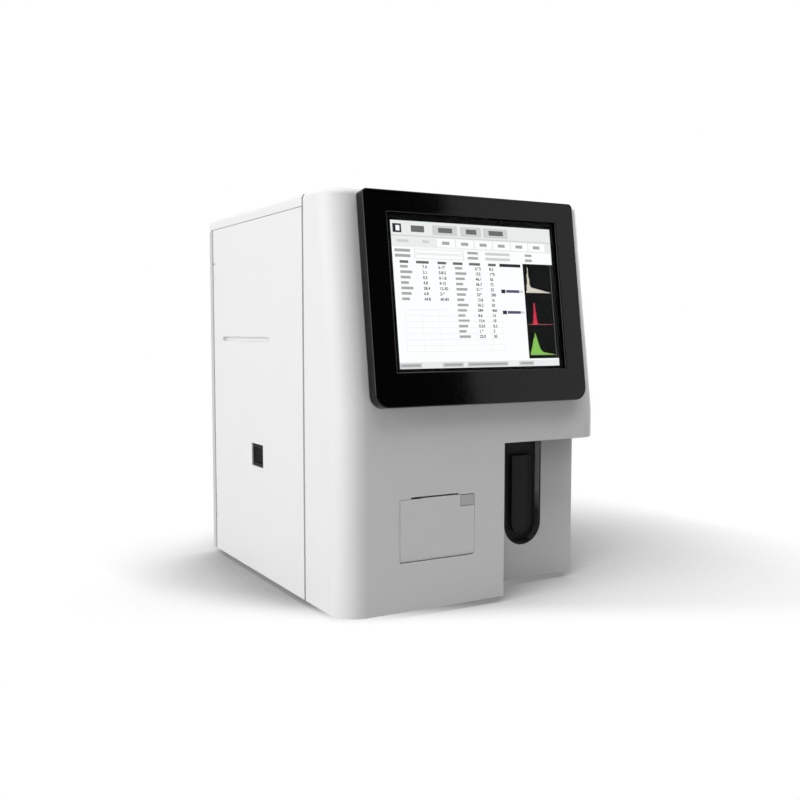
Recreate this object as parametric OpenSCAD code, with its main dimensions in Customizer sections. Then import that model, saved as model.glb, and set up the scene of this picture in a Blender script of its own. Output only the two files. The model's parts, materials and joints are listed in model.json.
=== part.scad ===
/* [Body] */
// Width over the side covers
body_w = 345; // [338:1:360]
// Depth from the lower front face to the rear face of the rear panel
body_d = 408; // [404:1:430]
// Height of the covers, from their bottom edge to the top
body_h = 451; // [446:1:470]
// Height of the feet below the covers
foot_h = 7; // [5:0.5:12]
// Diameter of a foot
foot_d = 24; // [18:1:30]
// Wall of the moulded covers
wall = 3; // [2.6:0.1:3.4]
// Steel sheet of the frame
sheet = 2; // [1.6:0.1:2.4]
// Seam between the front cover and the covers behind it
seam = 4; // [3:0.5:6]
// Gap at the other panel edges
panel_gap = 1; // [0.6:0.1:1.4]
// Lip of the top cover down the sides
top_lip = 14.5; // [12:0.5:18]
// Inward rim along the edges of the covers
rim = 8; // [7:0.5:9]
// Radius of a cover screw's head
screw_head_r = 3.5; // [3:0.1:4]
// Height of a cover screw's head
screw_head_t = 2; // [1.5:0.1:2.5]
// Distance of the cover screws from the edges of the rear panel
screw_inset = 9; // [8:0.5:12]
// Distance of the feet from the side covers
foot_inset = 40; // [34:1:50]

/* [Front cover] */
// Depth of the front cover
cover_d = 92.5; // [90:0.5:98]
// Radius of its upright corners
corner_r = 30; // [24:1:36]
// Height of the knee where the face starts to lean back
knee_z = 208; // [204:1:212]
// Lean of the upper face, in degrees
face_tilt = 8; // [6:0.5:10]

/* [Display] */
// Width of the bezel
bezel_w = 277; // [260:1:280]
// How far the bezel stands out of the face
bezel_proud = 15.5; // [14:0.5:18]
// Height of the bezel's lower edge above the knee, along the face
bezel_low = 11.6; // [8:0.2:14]
// Gap between the bezel's upper edge and the top, along the face
bezel_top_gap = 3.8; // [3:0.1:6]
// Radius of the bezel's lower corners
bezel_r = 15; // [10:1:20]
// Radius of the bezel's upper corners
bezel_top_r = 5; // [3:1:10]
// Width of the lit area of a 10.4 inch panel
screen_w = 211.2; // [205:0.1:214]
// Height of the lit area above the bezel's lower edge
chin = 42.4; // [38:0.2:46]
// Height of the bezel above the lit area
brow = 29.2; // [26:0.2:34]
// Black edge that shows around the lit area
screen_border = 5.5; // [4:0.5:7]
// Depth of the glass below the bezel's face
sight_depth = 3; // [2:0.5:4]
// Thickness of the touch glass
glass_t = 2; // [1.5:0.1:3]
// How far the glass reaches behind the bezel on each side
glass_ledge = 6; // [4:0.5:8]
// Opening for the display's cables in the face
cable_mouth = 100; // [60:1:130]

/* [Sample bay] */
// Left edge of the bay, from the middle of the body
bay_x = 32; // [28:1:40]
// Depth of the bay
bay_d = 53; // [48:0.5:56]
// Height of the bay's ceiling above the covers' bottom edge
bay_h = 175; // [170:1:180]
// Middle of the recess and of the probe, from the middle of the body
key_x = 97; // [92:1:102]
// Width of the black recess
recess_w = 54; // [48:1:58]
// Bottom of the recess above the covers' bottom edge
recess_low = 42; // [36:1:48]
// Depth of the recess
recess_depth = 9; // [8:0.5:11]
// Gap between the recess and the bay's ceiling
recess_top_gap = 3; // [2:0.5:6]
// Wall of the black liner
liner_t = 2; // [1.5:0.1:2.5]
// Lip of the liner behind the bay's wall
liner_lip = 5; // [3:0.5:6]
// Width of the aspirate key
key_w = 28; // [24:1:32]
// Thickness of the aspirate key
key_t = 4; // [3:0.5:5]
// Depth of the key's face below the bay's wall
key_sink = 3; // [2:0.5:3.5]
// Travel of the aspirate key
key_travel = 1.5; // [1:0.1:1.6]
// Length of the straight part of the key
key_run = 82; // [70:1:90]
// Radius of the key's stems
stem_r = 3; // [2.5:0.1:3.4]
// Height of the lower stem above the middle of the round end
stem_rise = 12; // [10:1:16]
// Distance between the two stems
stem_pitch = 50; // [44:1:56]
// Bore of a spring cup behind the liner
cup_r = 6; // [5.5:0.1:6.5]
// Depth of a spring cup behind the liner's floor
cup_depth = 10; // [8:0.5:12]
// Wire of a key spring
spring_wire = 1; // [0.8:0.1:1.2]
// Turns of a key spring
spring_turns = 6; // [4:1:7]
// Size of the key switch across the key
key_switch_w = 20; // [18:1:24]
// Size of the key switch up the key
key_switch_h = 10; // [8:1:12]
// Size of the key switch behind its front
key_switch_d = 8; // [6:0.5:9]

/* [Recorder] */
// Middle of the recorder's door, from the middle of the body
rec_x = -56; // [-60:1:-52]
// Width of the door
rec_w = 94; // [90:1:98]
// Height of the door
rec_h = 68; // [66:1:74]
// Bottom of the door above the covers' bottom edge
rec_z = 53; // [48:1:58]
// Radius of the door's hinge barrel
rec_barrel_r = 5.5; // [5:0.1:6]
// Gap around the door
rec_gap = 0.6; // [0.4:0.1:0.9]
// Radius of the hinge pin and of the platen's shaft
small_pin_r = 1.5; // [1.2:0.1:1.7]
// How far the frame reaches past the door behind the cover
rec_margin = 4; // [3.5:0.5:6]
// Wall of the recorder's frame
rec_wall = 2.5; // [2:0.1:3]
// Inside depth of the recorder's frame
rec_depth = 74; // [70:1:78]
// Room above the paper slot inside the frame
rec_head_room = 8; // [6:1:12]
// Height of the paper slot above the door
slot_h = 2.5; // [2:0.1:3]
// Width of the paper
paper_w = 57.5; // [56:0.5:58.5]
// Middle of the paper, from the middle of the door
paper_off = -3.5; // [-5:0.5:-2]
// Diameter of a full paper roll
roll_d = 46; // [38:1:48]
// Diameter of the roll's core
core_d = 13; // [10:1:16]
// Gap between the front of the roll and the cover
roll_front = 12; // [10:1:16]
// Radius of the platen roller
platen_r = 5; // [4:0.1:5.5]
// Depth of the platen's shaft behind the front face
platen_y = 11; // [10:0.5:12]
// Drop of the platen's shaft below the door's top edge
platen_drop = 7; // [6:0.5:9]
// Thickness of the ears that carry the platen
ear_t = 2.5; // [2:0.1:3]
// Width of the latch button
latch_w = 18; // [15:1:19]
// Height of the latch button
latch_h = 12; // [10:1:13]
// Travel of the latch button
latch_travel = 3; // [2:0.5:4]
// Diameter of the paper feed motor
feed_d = 22; // [18:1:26]
// Length of the paper feed motor
feed_l = 16; // [12:1:20]

/* [Service door] */
// Radius of the door's hinge barrel
barrel_r = 4; // [3.6:0.1:4.4]
// Radius of the hinge pins
hinge_pin_r = 2; // [1.6:0.1:2.4]
// Length of a hinge knuckle on the post
knuckle_l = 30; // [24:1:36]
// Middle of the lower knuckle above the covers' bottom edge
hinge_low = 60; // [50:1:80]
// Middle of the upper knuckle below the door's top edge
hinge_drop = 60; // [50:1:80]
// Length of the finger groove
grip_l = 165; // [140:1:170]
// Height of the finger groove
grip_h = 5.5; // [5:0.1:7]
// Depth of the finger groove
grip_depth = 6; // [6:0.5:9]
// Middle of the groove behind the front face
grip_y = 276; // [270:1:290]
// Middle of the groove above the covers' bottom edge
grip_z = 290; // [280:1:300]

/* [Mains] */
// Middle of the rocker switch behind the front face
switch_y = 237; // [230:1:244]
// Middle of the rocker switch above the covers' bottom edge
switch_z = 147; // [140:1:156]
// Width of the switch's flange, front to back
switch_w = 36; // [34:1:40]
// Height of the switch's flange
switch_h = 26; // [24:1:30]
// Thickness of the switch's flange
switch_flange = 2.5; // [2:0.1:3]
// Depth of the flange below the door's outer face
switch_sink = 1.5; // [1:0.1:2]
// Gap between the flange and the cut-out in the door
switch_gap = 1; // [0.8:0.1:1.5]
// Depth of the switch's body
switch_d = 26; // [22:1:30]
// Lean of the rocker to one side, in degrees
rocker_lean = 7; // [5:0.5:8]
// Middle of the mains inlet, from the left side
inlet_inset = 62.5; // [58.5:0.5:72]
// Middle of the mains inlet above the covers' bottom edge
inlet_z = 90; // [84:1:110]
// Width of the mains inlet's body
inlet_w = 27; // [26:0.5:29]
// Height of the mains inlet's body
inlet_h = 20; // [19:0.5:22]
// Length of the power supply, side to side
supply_w = 110; // [90:1:116]
// Depth of the power supply
supply_d = 100; // [80:1:104]
// Height of the power supply
supply_h = 50; // [40:1:56]

/* [Sampler] */
// Left face of the bulkhead, from the middle of the body
bulk_x = 18; // [14:1:20]
// Sideways travel of the probe from the bay to the red cell bath
probe_travel = 105; // [100:1:108]
// Travel of the probe downwards
lift_travel = 80; // [70:1:84]
// Distance of the probe behind the front face
probe_y = 30; // [28:1:32]
// Outer radius of the probe
probe_r = 0.8; // [0.6:0.1:1]
// Radius of the probe's mouth in the bay's ceiling
probe_mouth_r = 6; // [4:0.5:8]
// Thickness of the sampler's plate
plate_t = 3; // [2.5:0.1:4]
// Width of the rail
rail_w = 12; // [10:1:14]
// Height of the rail
rail_h = 8; // [7:0.5:9]
// Length of the carriage along the rail
carriage_l = 46; // [44:1:48]
// Front of the carriage behind the front face
carriage_y = 70; // [68:1:72]
// Radius of the belt pulleys
pulley_r = 8; // [7:0.5:9]
// Width of the belt
belt_w = 6; // [5:0.5:6.5]
// Thickness of the belt
belt_t = 1.5; // [1:0.1:2]
// Radius of the lift screw
screw_r = 3; // [2.6:0.1:3.4]
// Size of the lift motor's square body
lift_motor_w = 28; // [26:1:30]
// Size of the large motors' square body
motor_w = 42; // [38:1:42]
// Length of the large motors
motor_l = 34; // [30:1:38]

/* [Baths and fluids] */
// Outer radius of a cell bath
bath_r = 15; // [13:0.5:16]
// Wall of a cell bath
bath_wall = 3; // [2:0.5:4]
// Distance between the two baths
bath_pitch = 37; // [35:1:39]
// Middle of the syringe drive behind the front face
syringe_y = 330; // [325:1:336]
// Outer radius of the syringe barrel
syringe_r = 11; // [10:0.5:12]
// Wall of the syringe barrel
syringe_wall = 2; // [1.5:0.1:2.5]
// Length of the syringe barrel
syringe_l = 72; // [70:1:80]
// Number of valves in the bank
valve_count = 6; // [4:1:6]
// Distance between two valves
valve_pitch = 20; // [18:0.5:20]
// Radius of the vacuum chamber
chamber_r = 28; // [24:1:30]
// Height of the vacuum chamber
chamber_h = 116; // [90:1:124]
// Radius of a pump's motor
pump_r = 15; // [12:0.5:16]
// Middle of the outer pump, from the left side
pump_inset = 62.5; // [58:0.5:66]
// Distance between the two pumps
pump_pitch = 50; // [44:1:54]
// Radius of a hose spigot on the rear panel
spigot_r = 3; // [2.5:0.1:3.5]
// Length of a hose spigot
spigot_l = 11; // [9:0.5:14]
// Middle of the outer hose spigot, from the right side
hose_inset = 34.5; // [30:0.5:40]
// Distance between two hose spigots
hose_pitch = 29; // [24:1:31]
// Height of the hose spigots above the covers' bottom edge
hose_z = 70; // [60:1:90]

/* [Electronics] */
// Height of the main board
board_h = 190; // [160:1:196]
// Length of the main board
board_l = 150; // [120:1:154]
// Length of the board's standoffs
standoff_l = 8; // [6:0.5:10]
// Thickness of the main board
board_t = 1.6; // [1.2:0.1:2]
// Middle of the data sockets, from the right side
port_inset = 77.5; // [73:0.5:82]
// Middle of the data sockets above the covers' bottom edge
port_z = 150; // [140:1:170]
// Width of the data sockets' block
port_w = 70; // [66:1:80]
// Height of the data sockets' block
port_h = 20; // [18:1:26]
// Size of the fan's square frame
fan_w = 80; // [76:1:84]
// Depth of the fan
fan_d = 25; // [20:1:26]
// Middle of the fan, from the right side
fan_inset = 77.5; // [73:0.5:84]
// Middle of the fan below the rear panel's upper edge
fan_drop = 105.5; // [96:0.5:115]

/* [Clearances] */
// Radial clearance of a turning or sliding shaft
run_fit = 0.05; // [0.03:0.01:0.08]
// Clearance between faces that pass each other
free_gap = 0.3; // [0.2:0.05:0.4]
// Clearance around a seated piece
seat_fit = 0.2; // [0.1:0.05:0.3]

/* [Hidden] */
$fn = 64;
cut = 1;
half_w = body_w / 2;
side_y = cover_d + seam;
rear_in = body_d - sheet;
side_end = rear_in - rim - panel_gap;
side_h = body_h - top_lip - panel_gap;
roof_z = body_h - wall;
deck_z = 2 * sheet;
deck_half = half_w - wall - rim - panel_gap / 2;
deck_upstand = 12;
frame_y = cover_d + sheet;
frame_half = half_w - wall - panel_gap;
frame_border = 16;
frame_post = 12;
frame_ledge = 16;
bulk_r = bulk_x + sheet;
nut_t = 4;
nut_r = 8;
nut_flat = 2;
stub_l = 9;
hose_x = [for (i = [3:-1:0]) half_w - hose_inset - i * hose_pitch];
fan_x = half_w - fan_inset;
fan_z = side_h - fan_drop;
port_x = half_w - port_inset;
inlet_x = -half_w + inlet_inset;

// Overall reach before the lower front face and behind the rear panel
front_reach = bezel_proud * cos(face_tilt) - bezel_low * sin(face_tilt);
rear_reach = nut_t + spigot_l;
front_y = -(body_d + rear_reach - front_reach) / 2;

slant_l = (body_h - knee_z) / cos(face_tilt);
bezel_h = slant_l - bezel_low - bezel_top_gap;
screen_h = bezel_h - chin - brow;
screen_mid = bezel_low + chin + screen_h / 2;
view_w = screen_w + 2 * screen_border;
view_h = screen_h + 2 * screen_border;
glass_y = -bezel_proud + sight_depth;

recess_mid = recess_low + recess_w / 2;
recess_top = bay_h - recess_top_gap;
recess_floor = bay_d + recess_depth;
liner_back = recess_floor + liner_t;
key_y = bay_d + key_sink;
key_back = key_y + key_t;
cup_end = recess_floor + cup_depth;
stems = [recess_mid + stem_rise, recess_mid + stem_rise + stem_pitch];
key_mid = recess_mid + stem_rise + stem_pitch / 2;
post_reach = 2;
post_end = liner_back + post_reach;
plunger_y = post_end + key_travel + free_gap;
plunger_l = 0.5;

rec_hy = rec_barrel_r;
rec_hz = rec_z + rec_barrel_r;
rec_top = rec_z + rec_h;
rec_x0 = rec_x - rec_w / 2;
rec_x1 = rec_x + rec_w / 2;
box_x0 = rec_x0 - rec_margin;
box_x1 = rec_x1 + rec_margin;
box_z0 = rec_z - rec_margin;
box_z1 = rec_top + slot_h + rec_head_room;
box_y1 = wall + rec_depth + rec_wall;
paper_x = rec_x + paper_off;
slot_spare = 1.5;
slot_w = paper_w + 2 * slot_spare;
roll_y = roll_front + roll_d / 2;
roll_z = box_z0 + rec_wall + roll_d / 2 + free_gap;
platen_z = rec_top - platen_drop;
ear_gap = 1.2;
ear_in = paper_w / 2 + ear_gap;
latch_x0 = rec_x1 - latch_w;
latch_z0 = rec_top - latch_h;
latch_stem_r = 3;
latch_spare = 2;
latch_guide_y = wall + rec_gap + latch_travel + latch_spare;
latch_guide_l = 10;

hinge_x = -half_w + barrel_r;
hinge_y = side_end - barrel_r;
hinge_high = side_h - hinge_drop;
knuckles = [hinge_low, hinge_high];
post_gap = 4;
post_x = hinge_x + barrel_r + post_gap;
pin_reach = 20;

turret_x = -half_w + switch_sink + switch_flange;
bracket_x = -deck_half + sheet;
switch_lap_w = 3;
rocker_lap = 5.5;
rocker_sink = 5.5;
bracket_edge = 8;
bracket_foot = 24;
switch_lap_h = 2;
switch_wall = 4;
switch_body_w = switch_w - 2 * switch_lap_w;
switch_body_h = switch_h - 2 * switch_lap_h;
rocker_w = switch_w - 2 * rocker_lap;
rocker_h = switch_h - 2 * switch_wall;
rocker_x = turret_x + rocker_sink;
rocker_face = 7;
rocker_dish = 1.5;
rocker_keel = 2;

wash_gap = 3;
wash_z = bay_h + wall + wash_gap;
wash_h = 14;
wash_w = 20;
wash_step = 5;
tower_low = wash_z + wash_h - wash_step;
tower_foot = 6;
arm_h = 20;
arm_spare = 4;
arm_z = tower_low + tower_foot + arm_spare + lift_travel;
arm_over = 6;
tower_high = arm_z + arm_h + arm_over;
tip_rise = 1;
probe_tip = wash_z + tip_rise;
rail_z = arm_z + arm_h / 2;
rail_x = bulk_r + plate_t;
block_gap = 3;
block_x = rail_x + block_gap;
block_wall = 7;
tower_x = rail_x + rail_h + block_wall;
tower_t = 4;
tower_face = tower_x + tower_t;
screw_off = 10;
screw_x = tower_face + screw_off;
screw_y = carriage_y + carriage_l * 0.7;
guide_y = carriage_y + carriage_l * 0.25;
guide_w = 8;
guide_t = 5;
block_cheek = 8;
block_half = rail_w / 2 + block_cheek;
belt_room = 4;
belt_mid = rail_z + block_half + belt_room + pulley_r + free_gap + belt_t;
belt_gap = 1;
belt_x = rail_x + belt_gap;
pulley_room = 8;
idler_y = carriage_y - pulley_r - belt_t - pulley_room;
drive_y = carriage_y + carriage_l + probe_travel + pulley_r + belt_t + pulley_room;
plate_edge = 4;
plate_brow = 6;
rail_spare = 6;
plate_y0 = idler_y - pulley_r - plate_edge;
plate_y1 = drive_y + pulley_r + plate_edge;
plate_z0 = rail_z - block_half - plate_edge;
plate_z1 = belt_mid + pulley_r + plate_brow;
clamp_in = 8;
clamp_t = 4;
shaft_r = 2.5;
shaft_sink = 12;
screw_sink = 8;
axle_r = 3;

bath_drop = 3;
bath_spare = 2;
bath_top = bay_h - bath_drop;
bath_low = bath_top - lift_travel - bath_spare;
red_y = probe_y + probe_travel;
baths = [red_y - bath_pitch, red_y];
shelf_drop = 30;
shelf_z = bath_top - shelf_drop;
shelf_t = 3;
bath_edge = 4;
bath_collar = 3;
bath_foot = 24;
hose_hole_r = 14;
hose_hole_y = 70;
hose_pass_low = 78;
hose_pass_high = 218;

syringe_z0 = 104;
syringe_t = 6;
syringe_span = 158;
syringe_top = syringe_z0 + syringe_span;
syringe_back = 3;
syringe_reach = 38;
drive_reach = 13;
syringe_x = bulk_x - syringe_back - syringe_reach;
drive_screw_x = bulk_x - syringe_back - drive_reach;
plunger_out = 50;
block_rest = syringe_top - syringe_l - plunger_out;
block_t = 10;
block_side = 8;
block_w = 24;
piston_t = 10;
piston_in = 15;
piston_z = syringe_top - syringe_l + piston_in;
syringe_edge = 30;
syringe_step = 6;
syringe_lap = 4;
nozzle_r = 4;
nozzle_l = 10;
nozzle_bore = 1;

pump_room = 24;
pump_y = side_y + pump_room;
pump_head = 18;
pump_rim = 4;
pump_l = 44;
pump_x = [-half_w + pump_inset, -half_w + pump_inset + pump_pitch];

valve_gap = 3;
valve_drop = 92.2;
valve_y = drive_y - motor_w / 2 - valve_gap - valve_count * valve_pitch;
valve_z = roof_z - valve_drop;
board_edge = 10;
board_inset = 8;
board_drop = 12;
board_chip = 30;
chamber_gap = 20;
chamber_room = 11;
supply_gap = 8;
supply_rear = 3;
fan_rim = 2;
ring_r = fan_w / 2 - fan_rim;
fan_hub_r = 17.6;
strut_t = 4;

// Body coordinates: x from the middle, y from the lower front face, z from the covers' bottom edge
module in_body() {
  translate([0, front_y, foot_h]) children();
}

// Face coordinates: z up the leaning face from the knee, y into the body
module on_face() {
  translate([0, 0, knee_z]) rotate([-face_tilt, 0, 0]) children();
}

module box(low, high) {
  translate(low) cube(high - low);
}

module slab_y(y0, y1) {
  translate([0, y1, 0]) rotate([90, 0, 0]) linear_extrude(y1 - y0) children();
}

module slab_x(x0, x1) {
  translate([x0, 0, 0]) rotate([90, 0, 90]) linear_extrude(x1 - x0) children();
}

module rod_x(r, x0, x1, y, z) {
  translate([x0, y, z]) rotate([0, 90, 0]) cylinder(r = r, h = x1 - x0);
}

module rod_y(r, y0, y1, x, z) {
  translate([x, y1, z]) rotate([90, 0, 0]) cylinder(r = r, h = y1 - y0);
}

module rod_z(r, z0, z1, x, y) {
  translate([x, y, z0]) cylinder(r = r, h = z1 - z0);
}

// Rectangle with its own radius on the lower and the upper corners, standing on the x axis
module rounded(w, h, r_low, r_high) {
  translate([-w / 2, r_low]) square([w, h - r_low - r_high]);
  translate([-w / 2 + r_low, 0]) square([w - 2 * r_low, r_low + cut]);
  translate([-w / 2 + r_high, h - r_high - cut]) square([w - 2 * r_high, r_high + cut]);
  for (s = [-1, 1]) {
    translate([s * (w / 2 - r_low), r_low]) circle(r_low);
    translate([s * (w / 2 - r_high), h - r_high]) circle(r_high);
  }
}

// Long slot with round ends
module stadium(l, h) {
  square([l - h, h], center = true);
  for (s = [-1, 1]) translate([s * (l - h) / 2, 0]) circle(h / 2);
}

// Plan of the front cover, its two front corners round
module cover_plan(inset, depth) {
  r = corner_r - inset;
  w = half_w - inset;
  translate([-w, inset + r]) square([2 * w, depth - inset - r]);
  translate([r - w, inset]) square([2 * (w - r), r + cut]);
  for (s = [-1, 1]) translate([s * (w - r), inset + r]) circle(r);
}

// What an upright and a leaning prism of the same plan both hold, so that they meet at the knee
module cover_form(inset, depth, low, high) {
  intersection() {
    translate([0, 0, low]) linear_extrude(high - low) cover_plan(inset, depth);
    on_face() translate([0, 0, -body_h]) linear_extrude(2 * body_h) cover_plan(inset, 2 * body_d);
  }
}

module bay_space(grow) {
  box([bay_x - grow, -cut, -cut], [half_w + cut, bay_d + grow, bay_h + grow]);
}

// Outline of the recess and of what lies in it, with a round lower end
module recess_plan(w, top) {
  translate([key_x, recess_mid]) circle(w / 2);
  translate([key_x - w / 2, recess_mid]) square([w, top - recess_mid]);
}

module front_cover() {
  color("whitesmoke") in_body() difference() {
    cover_form(0, cover_d, 0, body_h);
    difference() {
      cover_form(wall, cover_d - wall, -cut, roof_z);
      bay_space(wall);
    }
    bay_space(0);
    box([-half_w + wall + rim, cover_d - wall - cut, -cut],
        [half_w - wall - rim, cover_d + cut, roof_z - rim]);
    on_face() slab_y(-cut, wall + cut)
      translate([-cable_mouth / 2, screen_mid - cable_mouth / 2]) square(cable_mouth);
    box([rec_x0 - rec_gap, -cut, rec_z - rec_gap], [rec_x1 + rec_gap, wall + cut, rec_top + rec_gap]);
    box([paper_x - slot_w / 2, -cut, rec_top], [paper_x + slot_w / 2, wall + cut, rec_top + slot_h]);
    slab_y(bay_d - cut, bay_d + wall + cut) recess_plan(recess_w, recess_top);
    rod_z(probe_mouth_r, bay_h - cut, bay_h + wall + cut, key_x, probe_y);
  }
}

module base_tray() {
  color("silver") in_body() difference() {
    union() {
      intersection() {
        box([-deck_half, 0, sheet], [deck_half, rear_in, deck_z]);
        linear_extrude(deck_z + cut) cover_plan(wall + panel_gap, body_d);
      }
      for (x = [-deck_half, deck_half - sheet])
        box([x, side_y + rim, sheet], [x + sheet, hinge_y - 2 * rim, deck_z + deck_upstand]);
    }
    box([bay_x - wall - panel_gap, 0, 0], [body_w, bay_d + wall + panel_gap, deck_z + cut]);
  }
}

module front_frame() {
  color("dimgray") in_body() difference() {
    union() {
      box([-frame_half, cover_d, deck_z], [frame_half, frame_y, roof_z]);
      box([-deck_half, cover_d, roof_z - sheet], [deck_half, frame_y + frame_ledge, roof_z]);
    }
    box([-frame_half + frame_border, cover_d - cut, deck_z + frame_border],
        [bulk_x - frame_post, frame_y + cut, roof_z - frame_border]);
    box([bulk_r, cover_d - cut, deck_z + frame_border],
        [frame_half - frame_border, frame_y + cut, roof_z - frame_border]);
  }
}

module bulkhead() {
  flange_w = 14;
  color("silver") in_body() difference() {
    union() {
      box([bulk_x, frame_y, deck_z], [bulk_r, rear_in, roof_z - sheet]);
      box([bulk_x, frame_y + frame_ledge + panel_gap, roof_z - 2 * sheet],
          [bulk_x + flange_w, rear_in, roof_z]);
    }
    box([bulk_x - cut, body_d - wall - panel_gap, side_h], [bulk_x + flange_w + cut, body_d, body_h]);
    rod_x(shaft_r + 1, bulk_x - cut, bulk_r + cut, drive_y, belt_mid);
    for (z = [deck_z + hose_pass_low, deck_z + hose_pass_high])
      rod_x(hose_hole_r, bulk_x - cut, bulk_r + cut, red_y + hose_hole_y, z);
  }
}

// Places of the screws that hold the rear panel
module at_cover_screws() {
  for (s = [-1, 1], z = [screw_inset, side_h / 2, side_h - screw_inset])
    translate([s * (half_w - screw_inset), 0, z]) children();
}

module rear_panel() {
  grille_r = ring_r - fan_rim;
  hole_pitch = 10;
  hole_r = 4;
  color("gainsboro") in_body() difference() {
    union() {
      box([-half_w, rear_in, 0], [half_w, body_d, side_h]);
      for (x = [-half_w, half_w - sheet])
        box([x, rear_in - rim, 0], [x + sheet, rear_in + cut, side_h]);
      box([-half_w, rear_in - rim, 0], [half_w, rear_in + cut, sheet]);
    }
    for (i = [-3:3], j = [-3:3]) {
      hx = (i + (j % 2 == 0 ? 0 : 0.5)) * hole_pitch;
      hz = j * hole_pitch;
      if (norm([hx, hz]) + hole_r < grille_r)
        rod_y(hole_r, rear_in - cut, body_d + cut, fan_x + hx, fan_z + hz);
    }
    box([inlet_x - inlet_w / 2 - seat_fit, rear_in - cut, inlet_z - inlet_h / 2 - seat_fit],
        [inlet_x + inlet_w / 2 + seat_fit, body_d + cut, inlet_z + inlet_h / 2 + seat_fit]);
    box([port_x - port_w / 2 - seat_fit, rear_in - cut, port_z - port_h / 2 - seat_fit],
        [port_x + port_w / 2 + seat_fit, body_d + cut, port_z + port_h / 2 + seat_fit]);
    for (x = hose_x) rod_y(nut_r - nut_flat + seat_fit, rear_in - cut, body_d + cut, x, hose_z);
    at_cover_screws() rod_y(screw_head_r / 2 + seat_fit, rear_in - cut, body_d + cut, 0, 0);
  }
}

module cover_screws() {
  slot_t = 0.9;
  color("silver") in_body() at_cover_screws() difference() {
    union() {
      rod_y(screw_head_r, body_d, body_d + screw_head_t, 0, 0);
      rod_y(screw_head_r / 2, rear_in - 3, body_d + cut / 2, 0, 0);
    }
    for (a = [0, 90]) rotate([0, a, 0])
      box([-screw_head_r * 0.6, body_d + screw_head_t / 2, -slot_t / 2],
          [screw_head_r * 0.6, body_d + screw_head_t + cut, slot_t / 2]);
  }
}

module hinge_post() {
  color("silver") in_body() difference() {
    union() {
      box([post_x, hinge_y - 2 * barrel_r, deck_z], [post_x + sheet, rear_in, side_h - rim]);
      for (z = knuckles) {
        rod_z(barrel_r, z - knuckle_l / 2, z + knuckle_l / 2, hinge_x, hinge_y);
        box([hinge_x, hinge_y + barrel_r * 0.15, z - knuckle_l / 2],
            [post_x + cut, hinge_y + barrel_r * 0.85, z + knuckle_l / 2]);
      }
    }
    for (z = knuckles)
      rod_z(hinge_pin_r + run_fit, z - knuckle_l / 2 - cut, z + knuckle_l / 2 + cut, hinge_x, hinge_y);
  }
}

module door_hinge_pins() {
  color("silver") in_body() for (z = knuckles)
    rod_z(hinge_pin_r, z - knuckle_l / 2 - pin_reach, z + knuckle_l / 2 + pin_reach, hinge_x, hinge_y);
}

module top_cover() {
  color("whitesmoke") in_body() {
    box([-half_w, side_y, roof_z], [half_w, body_d, body_h]);
    for (x = [-half_w, half_w - wall])
      box([x, side_y, side_h + panel_gap], [x + wall, body_d, roof_z + cut]);
    box([-half_w, body_d - wall, side_h + panel_gap], [half_w, body_d, roof_z + cut]);
  }
}

module right_cover() {
  vent_rows = 9;
  vent_pitch = 12;
  vent_h = 4;
  vent_l = 110;
  vent_z = 70;
  vent_edge = 30;
  color("whitesmoke") in_body() difference() {
    union() {
      box([half_w - wall, side_y, 0], [half_w, side_end, side_h]);
      box([half_w - wall - rim, side_y, 0], [half_w, side_y + wall, side_h]);
      box([half_w - wall - rim, side_y, side_h - wall], [half_w, side_end, side_h]);
      box([deck_half, side_y + 2 * rim, deck_z + sheet],
          [half_w - wall / 2, side_end - 3 * rim, deck_z + deck_upstand]);
    }
    for (i = [0:vent_rows - 1])
      box([half_w - wall - cut, side_end - vent_edge - vent_l, vent_z + i * vent_pitch],
          [half_w + cut, side_end - vent_edge, vent_z + i * vent_pitch + vent_h]);
  }
}

module left_door() {
  x_out = -half_w;
  x_in = x_out + wall;
  backing = 4;
  notch = knuckle_l + panel_gap;
  color("whitesmoke") in_body() difference() {
    union() {
      box([x_out, side_y, 0], [x_in, hinge_y, side_h]);
      box([x_out, side_y, 0], [x_in + rim, side_y + wall, side_h]);
      for (z = [0, side_h - wall])
        box([x_out, side_y, z], [x_in + rim, hinge_y - 2 * barrel_r, z + wall]);
      box([x_out, grip_y - grip_l / 2 - backing, grip_z - grip_h / 2 - backing],
          [x_out + grip_depth + 2, grip_y + grip_l / 2 + backing, grip_z + grip_h / 2 + backing]);
      rod_z(barrel_r, 0, side_h, hinge_x, hinge_y);
    }
    slab_x(x_out - cut, x_out + grip_depth) translate([grip_y, grip_z]) stadium(grip_l, grip_h);
    box([x_out - cut, switch_y - switch_w / 2 - switch_gap, switch_z - switch_h / 2 - switch_gap],
        [x_in + cut, switch_y + switch_w / 2 + switch_gap, switch_z + switch_h / 2 + switch_gap]);
    for (z = knuckles) {
      box([x_out - cut, hinge_y - barrel_r - panel_gap, z - notch / 2],
          [x_out + 2 * barrel_r + cut, hinge_y + barrel_r + cut, z + notch / 2]);
      rod_z(hinge_pin_r + run_fit, z - knuckle_l / 2 - pin_reach - cut, z + knuckle_l / 2 + pin_reach + cut,
            hinge_x, hinge_y);
    }
  }
}

module feet() {
  foot_x = half_w - foot_inset;
  foot_room = 22;
  sole_d = foot_d - 4;
  hollow = 0.8;
  color("#202020") in_body()
    for (s = [-1, 1], y = [bay_d + wall + panel_gap + foot_d / 2 + foot_room, body_d - foot_inset])
      translate([s * foot_x, y, -foot_h]) rotate_extrude() polygon([
        [0, hollow], [sole_d / 4, hollow], [sole_d / 4 + cut, 0], [sole_d / 2, 0],
        [foot_d / 2, foot_h * 0.5], [foot_d / 2, foot_h + sheet], [0, foot_h + sheet]
      ]);
}

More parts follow.
